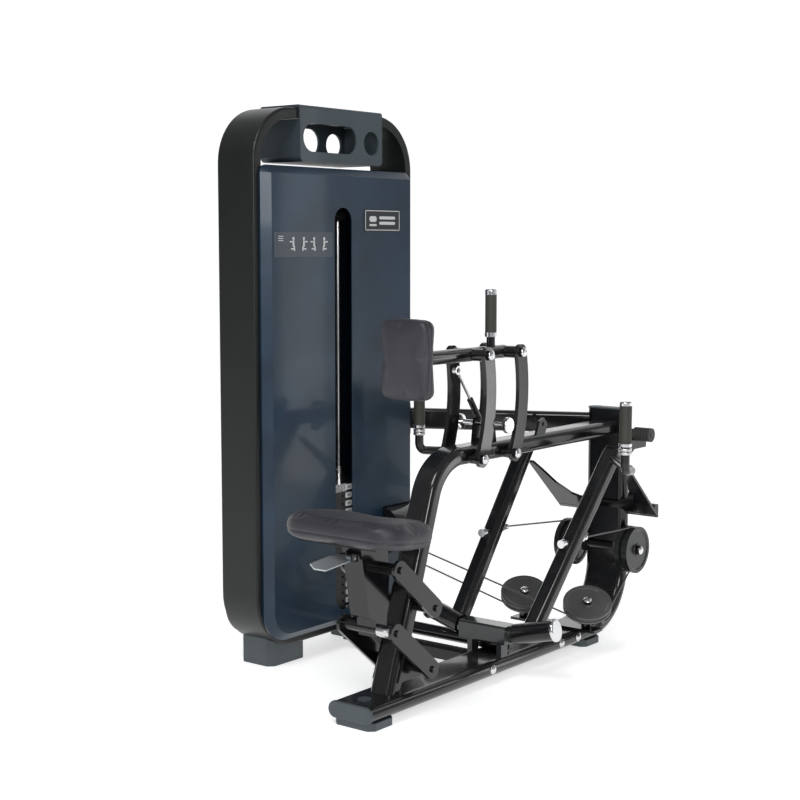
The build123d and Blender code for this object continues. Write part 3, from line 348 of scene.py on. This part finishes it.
class Workshop:
    """Shared maker of meshes, with one material per finish."""

    def __init__(self, nodes: dict[str, bpy.types.Object]) -> None:
        """Keep the frame's nodes.

        Args:
            nodes: CAD node objects by name.
        """
        self.nodes = nodes
        self.shelf: dict[str, bpy.types.Material] = {}

    def coat(self, obj: bpy.types.Object, finish: "Paint | Bright | Textured") -> None:
        """Give an object one finish all over.

        Args:
            obj: mesh object.
            finish: the finish.
        """
        if finish.name not in self.shelf:
            self.shelf[finish.name] = finish.material()
        if not obj.material_slots:
            obj.data.materials.append(None)
        for slot in obj.material_slots:
            slot.material = self.shelf[finish.name]

    def dress(self, finish: "Paint | Bright | Textured", *names: str) -> None:
        """Give carried-over nodes a finish, and report each.

        Args:
            finish: the finish.
            *names: node names.
        """
        for name in names:
            self.coat(self.nodes[name], finish)
            log.info("dressed %s in %s", name, finish.name)

    def piece(self, name: str, mesh: bmesh.types.BMesh, finish: "Paint | Bright | Textured", slot: str,
              body: str | None, smooth: bool = True) -> bpy.types.Object:
        """Turn a bmesh into an object that rides on a body.

        Args:
            name: the piece's name.
            mesh: its geometry, freed here.
            finish: its finish.
            slot: not used.
            body: body that it rides on, or None.
            smooth: whether its faces are shaded smooth.

        Returns:
            The object.
        """
        data = bpy.data.meshes.new(name)
        bmesh.ops.recalc_face_normals(mesh, faces=mesh.faces)
        mesh.to_mesh(data)
        mesh.free()
        obj = bpy.data.objects.new(name, data)
        bpy.context.scene.collection.objects.link(obj)
        for face in data.polygons:
            face.use_smooth = smooth
        self.coat(obj, finish)
        if body is not None:
            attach(obj, body)
        log.info("made %s", name)
        return obj

    def lathe(self, mesh: bmesh.types.BMesh, start: Vector, axis: Vector, profile: Sequence[tuple[float, float]],
              turns: int = 40) -> None:
        """Add a turned form.

        Args:
            mesh: mesh to add to.
            start: foot of the profile's axis.
            axis: direction of the profile's axis.
            profile: (distance along the axis, radius) pairs; an end with radius 0 closes the form.
            turns: points round the axis.
        """
        way = axis.normalized()
        side = way.orthogonal().normalized()
        other = way.cross(side)
        rings = []
        for along, radius in profile:
            centre = start + way * along
            if radius <= 0.0:
                rings.append([mesh.verts.new(centre)])
                continue
            steps = [2 * math.pi * i / turns for i in range(turns)]
            rings.append([mesh.verts.new(centre + side * radius * math.cos(a) + other * radius * math.sin(a))
                          for a in steps])
        for near, far in zip(rings, rings[1:]):
            for i in range(turns):
                j = (i + 1) % turns
                if len(near) == 1:
                    mesh.faces.new((near[0], far[i], far[j]))
                elif len(far) == 1:
                    mesh.faces.new((near[i], near[j], far[0]))
                else:
                    mesh.faces.new((near[i], near[j], far[j], far[i]))

    def slab(self, mesh: bmesh.types.BMesh, origin: Vector, across: Vector, up: Vector,
             outline: Sequence[tuple[float, float]], thick: float, bevel: float = 0.0) -> None:
        """Add a flat plate with a soft front edge.

        Args:
            mesh: mesh to add to.
            origin: the outline's origin, on the plate's back face.
            across: first direction of the outline.
            up: second direction of the outline.
            outline: corner points in metres.
            thick: thickness along across x up.
            bevel: inset of the front edge.
        """
        out = across.cross(up).normalized()
        mid_a = sum(a for a, _ in outline) / len(outline)
        mid_b = sum(b for _, b in outline) / len(outline)

        def ring(depth: float, inset: float) -> list:
            """Corners at one depth, drawn in towards the middle by an inset."""
            corners = []
            for a, b in outline:
                away = math.hypot(a - mid_a, b - mid_b) or 1.0
                keep = 1.0 - inset / away
                place = across * (mid_a + (a - mid_a) * keep) + up * (mid_b + (b - mid_b) * keep)
                corners.append(mesh.verts.new(origin + place + out * depth))
            return corners

        rings = [ring(0.0, 0.0), ring(thick - bevel, 0.0)]
        if bevel:
            rings.append(ring(thick, bevel))
        count = len(outline)
        for near, far in zip(rings, rings[1:]):
            for i in range(count):
                j = (i + 1) % count
                mesh.faces.new((near[i], near[j], far[j], far[i]))
        mesh.faces.new(rings[0][::-1])
        mesh.faces.new(rings[-1])

    def strand(self, mesh: bmesh.types.BMesh, start: Vector, end: Vector, radius: float, rings: int) -> None:
        """Add a closed straight length of cable, cut into rings.

        Args:
            mesh: mesh to add to.
            start: first end.
            end: second end.
            radius: cable radius.
            rings: number of divisions.
        """
        run = end - start
        step = run.length / rings
        profile = [(0.0, 0.0)] + [(i * step, radius) for i in range(rings + 1)] + [(run.length, 0.0)]
        self.lathe(mesh, start, run, profile, 12)


def rounded_outline(width: float, height: float, radius: float, steps: int = 8) -> list[tuple[float, float]]:
    """Corner points of a rectangle with round corners, about its centre.

    Args:
        width: first size.
        height: second size.
        radius: corner radius.
        steps: points for each corner.

    Returns:
        Points anticlockwise.
    """
    points = []
    for turn, (sx, sy) in enumerate(((1, 1), (-1, 1), (-1, -1), (1, -1))):
        for i in range(steps + 1):
            angle = math.pi / 2 * (turn + i / steps)
            points.append((sx * (width / 2 - radius) + radius * math.cos(angle),
                           sy * (height / 2 - radius) + radius * math.sin(angle)))
    return points


@dataclass
class Cushion:
    """Foam pad under tight grained vinyl, with a sewn seam round its side."""

    name: str
    node: str
    body: str
    size: Point
    corner: float
    frame: Matrix
    dip: float = 0.0
    crown: float = 0.004
    seam_level: float = 0.28
    cap: float = 0.008
    shrink: float = 0.003
    voxel: float = 0.005
    pressure: float = 4.0
    stretch_stiffness: float = 40.0
    bend_stiffness: float = 4.0
    swell_frames: int = 20
    seam_depth: float = 0.0022
    seam_width: float = 0.0028
    side_from: float = 0.80
    rings: list[tuple[float, float]] = field(default_factory=lambda: [
        (-1.0, 0.30), (-1.0, 0.80), (-0.97, 0.93), (-0.80, 0.985), (-0.40, 1.0), (0.10, 1.0), (0.50, 0.99),
        (0.78, 0.955), (0.93, 0.88), (1.0, 0.76), (1.0, 0.30)])

    def form(self) -> bmesh.types.BMesh:
        """Starting shape about the cushion's own centre, with its soft face up."""
        mesh = bmesh.new()
        width, length, thick = (side - 2 * self.shrink for side in self.size)
        loops = []
        for level, spread in self.rings:
            inset = (1.0 - spread) * min(width, length) / 2
            corner = max(self.corner - inset * 0.7, 0.006)
            outline = rounded_outline(width - 2 * inset, length - 2 * inset, corner, 10)
            loops.append([mesh.verts.new((x, y, level * thick / 2)) for x, y in outline])
        count = len(loops[0])
        for low, high in zip(loops, loops[1:]):
            for i in range(count):
                j = (i + 1) % count
                mesh.faces.new((low[i], low[j], high[j], high[i]))
        mesh.faces.new(loops[0][::-1])
        mesh.faces.new(loops[-1])
        return mesh

    def inflate(self, obj: bpy.types.Object) -> None:
        """Swell the pad with a short cloth simulation and keep the result.

        Args:
            obj: the pad, about its own centre.
        """
        remesh = obj.modifiers.new("remesh", "REMESH")
        remesh.mode = "VOXEL"
        remesh.voxel_size = self.voxel
        self.keep(obj)
        rest = [vertex.co.copy() for vertex in obj.data.vertices]
        cloth = obj.modifiers.new("cloth", "CLOTH")
        cloth.settings.use_pressure = True
        cloth.settings.uniform_pressure_force = self.pressure
        cloth.settings.tension_stiffness = self.stretch_stiffness
        cloth.settings.compression_stiffness = self.stretch_stiffness
        cloth.settings.bending_stiffness = self.bend_stiffness
        cloth.settings.effector_weights.gravity = 0.0
        cloth.settings.quality = 6
        for frame_number in range(1, self.swell_frames + 1):
            bpy.context.scene.frame_set(frame_number)
        self.keep(obj)
        for vertex, start in zip(obj.data.vertices, rest):
            move = vertex.co - start
            if move.length > self.cap:
                vertex.co = start + move.normalized() * self.cap

    def keep(self, obj: bpy.types.Object) -> None:
        """Replace the mesh with its evaluated form and drop the modifiers."""
        graph = bpy.context.evaluated_depsgraph_get()
        data = bpy.data.meshes.new_from_object(obj.evaluated_get(graph))
        obj.modifiers.clear()
        obj.data = data

    def sew(self, obj: bpy.types.Object) -> None:
        """Shape the crown and the dip, and pull the seam in round the side.

        Args:
            obj: the pad, about its own centre.
        """
        width, length, thick = self.size
        level = self.seam_level * thick / 2
        for vertex in obj.data.vertices:
            x, y, z = vertex.co
            across, along = 2 * x / width, 2 * y / length
            weight = max(0.0, min(1.0, z / (thick / 2)))
            height = self.crown * (1 - across * across) * (1 - along * along)
            sink = self.dip * math.exp(-((along / 0.45) ** 2))
            vertex.co.z += weight * (height - sink)
            pull = self.seam_depth * math.exp(-(((z - level) / self.seam_width) ** 2))
            if abs(across) > self.side_from:
                vertex.co.x -= math.copysign(pull, x)
            if abs(along) > self.side_from:
                vertex.co.y -= math.copysign(pull, y)

    def make(self, shop: Workshop) -> bpy.types.Object:
        """Build, swell, sew and place the cushion.

        Args:
            shop: the shared maker.

        Returns:
            The finished pad.
        """
        obj = shop.piece(self.name, self.form(), UPHOLSTERY, "upholstery", None)
        self.inflate(obj)
        smooth = obj.modifiers.new("round", "SUBSURF")
        smooth.levels = smooth.render_levels = 1
        self.keep(obj)
        self.sew(obj)
        for face in obj.data.polygons:
            face.use_smooth = True
        shop.coat(obj, UPHOLSTERY)
        obj.data.transform(self.frame)
        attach(obj, self.body)
        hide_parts(self.node)
        log.info("padded %s", self.name)
        return obj


@dataclass(frozen=True)
class Lamp:
    """One soft rectangular light: where it stands, the point that it faces, its two sides and its watts."""

    name: str
    place: Point
    aim: Point
    size: tuple[float, float]
    watts: float

    def hang(self) -> None:
        """Add the light to the scene."""
        lamp = bpy.data.lights.new(self.name, "AREA")
        lamp.shape = "RECTANGLE"
        lamp.size, lamp.size_y = self.size
        lamp.energy = self.watts
        obj = bpy.data.objects.new(self.name, lamp)
        bpy.context.scene.collection.objects.link(obj)
        obj.location = self.place
        obj.rotation_euler = (Vector(self.aim) - Vector(self.place)).to_track_quat("-Z", "Y").to_euler()


@dataclass
class Studio:
    """Pale floor and backdrop, soft lights and the camera."""

    eye: Point = (-3052.5, -2382.5, 1214.4)
    look: Point = (0.784, 0.612, -0.102)
    lens: float = 68.1
    sensor: float = 36.0
    sky: tuple[float, float, float, float] = (0.93, 0.96, 1.0, 1.0)
    sky_strength: float = 0.26
    floor: Colour = (0.86, 0.86, 0.86)
    floor_glow: float = 0.60
    floor_near: float = -9.0
    floor_far: float = 4.0
    half_width: float = 12.0
    sweep_radius: float = 3.0
    wall_top: float = 9.0
    sweep_steps: int = 24
    lamps: tuple[Lamp, ...] = (
        Lamp("key", (-2.2, -0.6, 3.2), (0.0, 0.0, 0.6), (1.2, 1.2), 42.0),
        Lamp("front", (-2.7, -2.6, 1.9), (0.0, 0.3, 0.8), (0.8, 1.2), 36.0),
        Lamp("tall_strip", (2.3, -1.9, 1.1), (0.0, 0.3, 0.8), (0.22, 2.2), 5.0),
        Lamp("narrow_strip", (1.3, -2.9, 1.1), (0.0, 0.3, 0.8), (0.12, 2.0), 3.0),
        Lamp("low_side", (-3.2, 1.4, 1.0), (-0.4, 0.3, 0.6), (0.4, 1.6), 4.0),
    )

    def fill(self) -> None:
        """Light everything softly from the sky."""
        world = bpy.data.worlds.new("studio")
        bpy.context.scene.world = world
        bpy.context.scene.view_settings.view_transform = "Standard"
        world.use_nodes = True
        background = world.node_tree.nodes["Background"]
        background.inputs["Color"].default_value = self.sky
        background.inputs["Strength"].default_value = self.sky_strength

    def sweep(self) -> None:
        """Lay the floor, which curves up into the backdrop."""
        mesh = bmesh.new()
        rows = [(self.floor_near, 0.0), (self.floor_far, 0.0)]
        for i in range(1, self.sweep_steps):
            angle = math.pi / 2 * i / self.sweep_steps
            rows.append((self.floor_far + self.sweep_radius * math.sin(angle),
                         self.sweep_radius - self.sweep_radius * math.cos(angle)))
        wall = self.floor_far + self.sweep_radius
        rows += [(wall, self.sweep_radius), (wall, self.wall_top)]
        ahead = Vector((self.look[0], self.look[1], 0)).normalized()
        side = Vector((-ahead.y, ahead.x, 0))
        pairs = [[mesh.verts.new(ahead * along + side * half + Vector((0, 0, height)))
                  for half in (-self.half_width, self.half_width)] for along, height in rows]
        for near, far in zip(pairs, pairs[1:]):
            mesh.faces.new((near[0], near[1], far[1], far[0]))
        data = bpy.data.meshes.new("studio_floor")
        mesh.to_mesh(data)
        mesh.free()
        sweep = bpy.data.objects.new("studio_floor", data)
        bpy.context.scene.collection.objects.link(sweep)
        for face in data.polygons:
            face.use_smooth = True
        graph = Graph("studio_white")
        tint = graph.ramp(graph.noise(0.5, 1.0), [(0.0, shade(self.floor, 0.99)), (1.0, self.floor)])
        data.materials.append(graph.finish(tint, 0.75, None, 0.0, 0.0, Emission_Color=(1.0, 1.0, 1.0, 1.0),
                                           Emission_Strength=self.floor_glow))

    def shoot(self) -> None:
        """Set up the camera."""
        view = bpy.data.cameras.new("camera")
        view.lens = self.lens
        view.sensor_width = self.sensor
        camera = bpy.data.objects.new("camera", view)
        bpy.context.scene.collection.objects.link(camera)
        camera.location = at(*self.eye)
        camera.rotation_euler = Vector(self.look).to_track_quat("-Z", "Y").to_euler()
        bpy.context.scene.camera = camera

    def build(self) -> None:
        """Set up the whole studio."""
        self.fill()
        self.sweep()
        for lamp in self.lamps:
            lamp.hang()
        self.shoot()
        log.info("studio ready")


@dataclass
class FloorFrame:
    """Rail, spine, ties, feet and their fastenings."""

    bolts: tuple[tuple[float, float], ...] = ((687.0, 45.0), (780.0, 44.0), (330.0, 45.0))
    bolt_radius: float = 0.009
    rail_side: float = -69.5

    def build(self, shop: Workshop) -> None:
        """Dress the frame and add its bolt heads.

        Args:
            shop: the shared maker.
        """
        shop.dress(GLOSS_BLACK, "base_rail", "spine_beam", "upper_tie", "lower_tie_guard", "wing_bracket",
                   "pulley_brackets")
        shop.dress(BLOCK_GREY, "pivot_block")
        shop.dress(FOOT_GREY, "end_caps", "feet")
        shop.dress(STOP_RUBBER, "rubber_roll")
        mesh = bmesh.new()
        r = self.bolt_radius
        profile = [(0.0, 0.0), (0.0, r * 1.5), (0.0015, r * 1.5), (0.002, r), (0.005, r * 0.9), (0.0068, r * 0.55),
                   (0.0072, 0.0)]
        for x, z in self.bolts:
            shop.lathe(mesh, at(x, self.rail_side, z), Vector((0, -1, 0)), profile, 28)
        shop.piece("rail_bolts", mesh, CHROME, "chrome", "frame")


@dataclass
class Tower:
    """Enclosed weight tower: band, panels, cover, placard and nameplate."""

    face: float = 480.5
    plate_back: float = 482.0
    print_thick: float = 0.0004
    figures: int = 4
    figure_pitch: float = 44.0

    def figure(self, shop: Workshop, mesh: bmesh.types.BMesh, x: float, z: float, lean: float) -> None:
        """Draw one generic exercising figure from flat dots and bars.

        Args:
            shop: the shared maker.
            mesh: mesh to add to.
            x: middle of the figure.
            z: middle of the figure.
            lean: sideways reach of its arm.
        """
        depth = self.face - 0.9
        dot = [(0.0045 * math.cos(a), 0.0045 * math.sin(a)) for a in [2 * math.pi * i / 16 for i in range(16)]]
        shop.slab(mesh, at(x, depth, z + 15), RIGHT, UP, dot, self.print_thick)
        for dx, dz, wide, tall in ((0, 1, 7, 18), (lean, 6, 16, 4), (-lean * 0.5, -13, 5, 14), (lean * 0.6, -14, 12, 4)):
            bar = rounded_outline(wide / 1000, tall / 1000, 0.0018, 4)
            shop.slab(mesh, at(x + dx, depth, z + dz), RIGHT, UP, bar, self.print_thick)

    def placard(self, shop: Workshop) -> bpy.types.Object:
        """Make the instruction placard, with a row of figures and three short lines.

        Args:
            shop: the shared maker.

        Returns:
            The placard's plate.
        """
        sheet = bmesh.new()
        shop.slab(sheet, at(175, self.plate_back, 1215), RIGHT, UP, rounded_outline(0.250, 0.070, 0.004), 0.0013, 0.0004)
        placard = shop.piece("instruction_placard", sheet, PLACARD_GREY, "label_white", "frame", False)
        printed = bmesh.new()
        for i in range(self.figures):
            self.figure(shop, printed, 128 + i * self.figure_pitch, 1217, 8 if i % 2 else -8)
        for row in range(3):
            line = rounded_outline(0.020, 0.0022, 0.001, 2)
            shop.slab(printed, at(76, self.face - 0.9, 1238 - row * 6), RIGHT, UP, line, self.print_thick)
        shop.piece("placard_print", printed, LABEL_WHITE, "label_white", "frame", False)
        return placard

    def nameplate(self, shop: Workshop) -> bpy.types.Object:
        """Make the nameplate, with a border and four plain bars in place of a name.

        Args:
            shop: the shared maker.

        Returns:
            The nameplate's plate.
        """
        name = bmesh.new()
        shop.slab(name, at(530, self.plate_back, 1287), RIGHT, UP, rounded_outline(0.172, 0.065, 0.007), 0.0015, 0.0004)
        plate = shop.piece("nameplate", name, INK, "label_white", "frame", False)
        printed = bmesh.new()
        border = ((0, 28.5, 162, 2.4), (0, -28.5, 162, 2.4), (-81, 0, 2.4, 55), (81, 0, 2.4, 55))
        bars = ((-46, 4, 34, 17), (-46, -14, 34, 6), (22, 8, 76, 9), (22, -8, 76, 9))
        for dx, dz, wide, tall in border + bars:
            bar = rounded_outline(wide / 1000, tall / 1000, min(wide, tall) / 2200, 4)
            shop.slab(printed, at(530 + dx, self.face - 0.1, 1287 + dz), RIGHT, UP, bar, self.print_thick)
        shop.piece("nameplate_print", printed, LABEL_WHITE, "label_white", "frame", False)
        return plate

    def build(self, shop: Workshop) -> None:
        """Dress the tower and print its plates.

        Args:
            shop: the shared maker.
        """
        shop.dress(SATIN_BAND, "tower_band")
        shop.dress(NAVY, "front_shroud", "rear_shroud")
        shop.dress(COVER_GREY, "top_cover")
        shop.dress(GLOSS_BLACK, "crosshead", "cable_entry_guard")
        placard = self.placard(shop)
        plate = self.nameplate(shop)
        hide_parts("info_plates")
        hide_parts("info_plates")


@dataclass
class WeightStack:
    """Plates, selector, rods and the number labels."""

    count: int = 16
    lifted: int = 5
    pitch: float = 24.5
    base: float = 115.0

    def labels(self, shop: Workshop, name: str, first: int, last: int, body: str) -> None:
        """Put white number labels on a run of plates.

        Args:
            shop: the shared maker.
            name: the piece's name.
            first: index of the first plate.
            last: index after the last plate.
            body: body that the plates ride on.
        """
        mesh = bmesh.new()
        marks = bmesh.new()
        label, figure = rounded_outline(0.030, 0.016, 0.003), rounded_outline(0.0042, 0.009, 0.0015, 3)
        for i in range(first, last):
            z = self.base + i * self.pitch + 12
            shop.slab(mesh, at(384, 495, z), RIGHT, UP, label, 0.0009, 0.0003)
            for digit in range(2):
                shop.slab(marks, at(380 + digit * 8, 494.2, z), RIGHT, UP, figure, 0.0003)
        shop.piece(name, mesh, LABEL_WHITE, "label_white", body, False)
        shop.piece(name + "_figures", marks, INK, "label_white", body, False)

    def build(self, shop: Workshop) -> None:
        """Dress the stack.

        Args:
            shop: the shared maker.
        """
        shop.dress(CAST_BLACK, "resting_plates", "lifted_plates")
        shop.dress(SHAFT, "guide_rods", "stack_head", "selector_pin")
        shop.dress(STOP_RUBBER, "stack_bumpers")
        self.labels(shop, "resting_labels", 0, self.count - self.lifted, "frame")
        self.labels(shop, "lifted_labels", self.count - self.lifted, self.count, "stack")


@dataclass
class CableRun:
    """Steel cables and every pulley."""

    radius: float = 0.0025
    floor_axle: Point = (-0.42, -0.29, 0.86)
    arm_anchor: Point = (706.7, 137.4, 368.0)

    def moving(self, shop: Workshop, name: str, node: str, runs: Sequence[tuple[Vector, Vector]]) -> None:
        """Straight cable from a fixed end on the frame to an end at a moving body, in place of a hidden CAD node.

        Args:
            shop: the shared maker.
            name: the piece's name.
            node: CAD node that it stands for.
            runs: pairs of the fixed end and the moving end.
        """
        mesh = bmesh.new()
        for start, end in runs:
            shop.strand(mesh, start, end, self.radius, 60)
        piece = shop.piece(name, mesh, STEEL_CABLE, "cable_steel", None)
        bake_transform(piece)
        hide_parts(node)

    def build(self, shop: Workshop) -> None:
        """Dress the pulleys and hang the cables.

        Args:
            shop: the shared maker.
        """
        shop.dress(WHEEL_GREY, "left_floor_pulley", "right_floor_pulley")
        shop.dress(WHEEL_BLACK, "left_side_pulley", "right_side_pulley", "left_entry_pulley", "right_entry_pulley",
                   "tower_pulley_stack", "tower_pulley_outer", "floating_pulley")
        shop.dress(BLOCK_GREY, "floating_yoke")
        shop.dress(STEEL_CABLE, "fixed_cables", "floating_cable_loop")
        profile = [(0.0, 0.0), (0.0, 0.0125), (0.002, 0.013), (0.0045, 0.0115), (0.007, 0.007), (0.008, 0.0)]
        tilt = Vector(self.floor_axle).normalized()
        bolts = bmesh.new()
        for side in (-1, 1):
            shop.lathe(bolts, at(760, side * 111, 153) + tilt * 0.0172, tilt, profile, 36)
            shop.lathe(bolts, at(1027, side * 138.2, 277), Vector((0, side, 0)), profile, 36)
        shop.piece("wheel_bolts", bolts, CHROME, "chrome", "frame")
        self.moving(shop, "stack_cable_drop", "stack_cable", [(at(359, 545, 1330), at(355, 545, 553))])
        self.moving(shop, "yoke_cable_drop", "yoke_cable", [(at(600.8, 545, 1330), at(605, 545, 1212))])
        self.moving(shop, "riser_cable_pair", "riser_cables",
                    [(at(560, 540.8, 340), at(564.2, 545, 1120)), (at(650, 540.8, 340), at(645.8, 545, 1120))])
        for side, name in ((1, "left"), (-1, "right")):
            x, y, z = self.arm_anchor
            start, end = at(1026, side * 108, 344.8), at(x, side * y, z)
            self.moving(shop, f"{name}_cable_reach", f"{name}_cable_span", [(start, end)])


@dataclass
class SwingArms:
    """Both arms with their grips, collars, caps and cable anchors."""

    def build(self, shop: Workshop) -> None:
        """Dress the arms and add the knurled collars.

        Args:
            shop: the shared maker.
        """
        shop.dress(GLOSS_BLACK, "left_swing_arm", "right_swing_arm")
        shop.dress(RUBBER, "left_grip", "right_grip")
        shop.dress(CHROME, "left_arm_fittings", "right_arm_fittings")
        for side, name in ((1, "left"), (-1, "right")):
            mesh = bmesh.new()
            ring = [(0.0, 0.0131), (0.0, 0.0175), (0.002, 0.0182), (0.006, 0.0182), (0.008, 0.0172), (0.008, 0.0131)]
            for z in (656, 646):
                shop.lathe(mesh, at(545, side * 352, z), Vector((0, 0, 1)), ring + [ring[0]], 40)
            shop.piece(f"{name}_grip_collars", mesh, BRUSHED, "chrome", f"{name}_arm")


@dataclass
class ChestSupport:
    """Links, carrier, centre grip, strut, release rod and the chest pad."""

    pad: Cushion = field(default_factory=lambda: Cushion(
        "chest_cushion", "chest_pad", "pad_carrier", (0.214, 0.158, 0.052), 0.024,
        Matrix.Translation(at(31, 0, 919)) @ Matrix(((0, 0, -1), (0, 1, 0), (1, 0, 0))).to_4x4(), crown=0.004,
        seam_level=0.05))

    def build(self, shop: Workshop) -> None:
        """Dress the linkage and make the pad.

        Args:
            shop: the shared maker.
        """
        shop.dress(GLOSS_BLACK, "front_links", "rear_links", "pad_carrier", "pad_strut_cylinder")
        shop.dress(SHAFT, "pad_strut_rod")
        shop.dress(CHROME, "centre_grip_fittings", "pad_release_rod")
        shop.dress(RUBBER, "centre_grip")
        self.domes(shop)
        self.pad.make(shop)

    def domes(self, shop: Workshop) -> None:
        """Put a bright domed cap on every link pivot."""
        profile = [(0.0, 0.0), (0.0, 0.0135), (0.002, 0.0142), (0.005, 0.0125), (0.0075, 0.008), (0.0085, 0.0)]
        for name, pivots in (("front_links", ((282, 637), (308, 917))), ("rear_links", ((441, 637), (467, 917)))):
            mesh = bmesh.new()
            for x, z in pivots:
                for side in (-1, 1):
                    shop.lathe(mesh, at(x, side * 70.5, z), Vector((0, side, 0)), profile, 36)
            shop.piece(f"{name}_caps", mesh, CHROME, "chrome", name)


@dataclass
class SeatAssembly:
    """Seat links, post, paddle and the saddle-shaped seat."""

    pad: Cushion = field(default_factory=lambda: Cushion(
        "seat_cushion", "seat_pad", "seat_carrier", (0.236, 0.380, 0.060), 0.078,
        Matrix.Translation(at(-168, 0, 504)) @ Matrix.Rotation(math.radians(6), 4, "Y"), dip=0.007, crown=0.008,
        seam_level=-0.35, cap=0.006))

    def build(self, shop: Workshop) -> None:
        """Dress the seat's linkage and make the pad.

        Args:
            shop: the shared maker.
        """
        shop.dress(GLOSS_BLACK, "seat_upper_links", "seat_lower_links", "seat_carrier")
        shop.dress(SILVER_PAINT, "seat_paddle")
        mesh = bmesh.new()
        profile = [(0.0, 0.0096), (0.0, 0.0152), (0.002, 0.0160), (0.046, 0.0160), (0.048, 0.0152), (0.048, 0.0096),
                   (0.0, 0.0096)]
        shop.lathe(mesh, at(-126, -79, 243), Vector((0, 1, 0)), profile, 40)
        shop.piece("seat_shaft_sleeve", mesh, SHAFT, "chrome", "seat_carrier")
        self.pad.make(shop)


def main() -> None:
    """Build the whole machine in order."""
    logging.basicConfig(level=logging.INFO, format="%(name)s: %(message)s")
    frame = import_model()
    shop = Workshop(frame["nodes"])
    Studio().build()
    for assembly in (FloorFrame(), Tower(), WeightStack(), CableRun(), SwingArms(), ChestSupport(), SeatAssembly()):
        assembly.build(shop)
        log.info("finished %s", type(assembly).__name__)


if __name__ == "__main__":
    main()
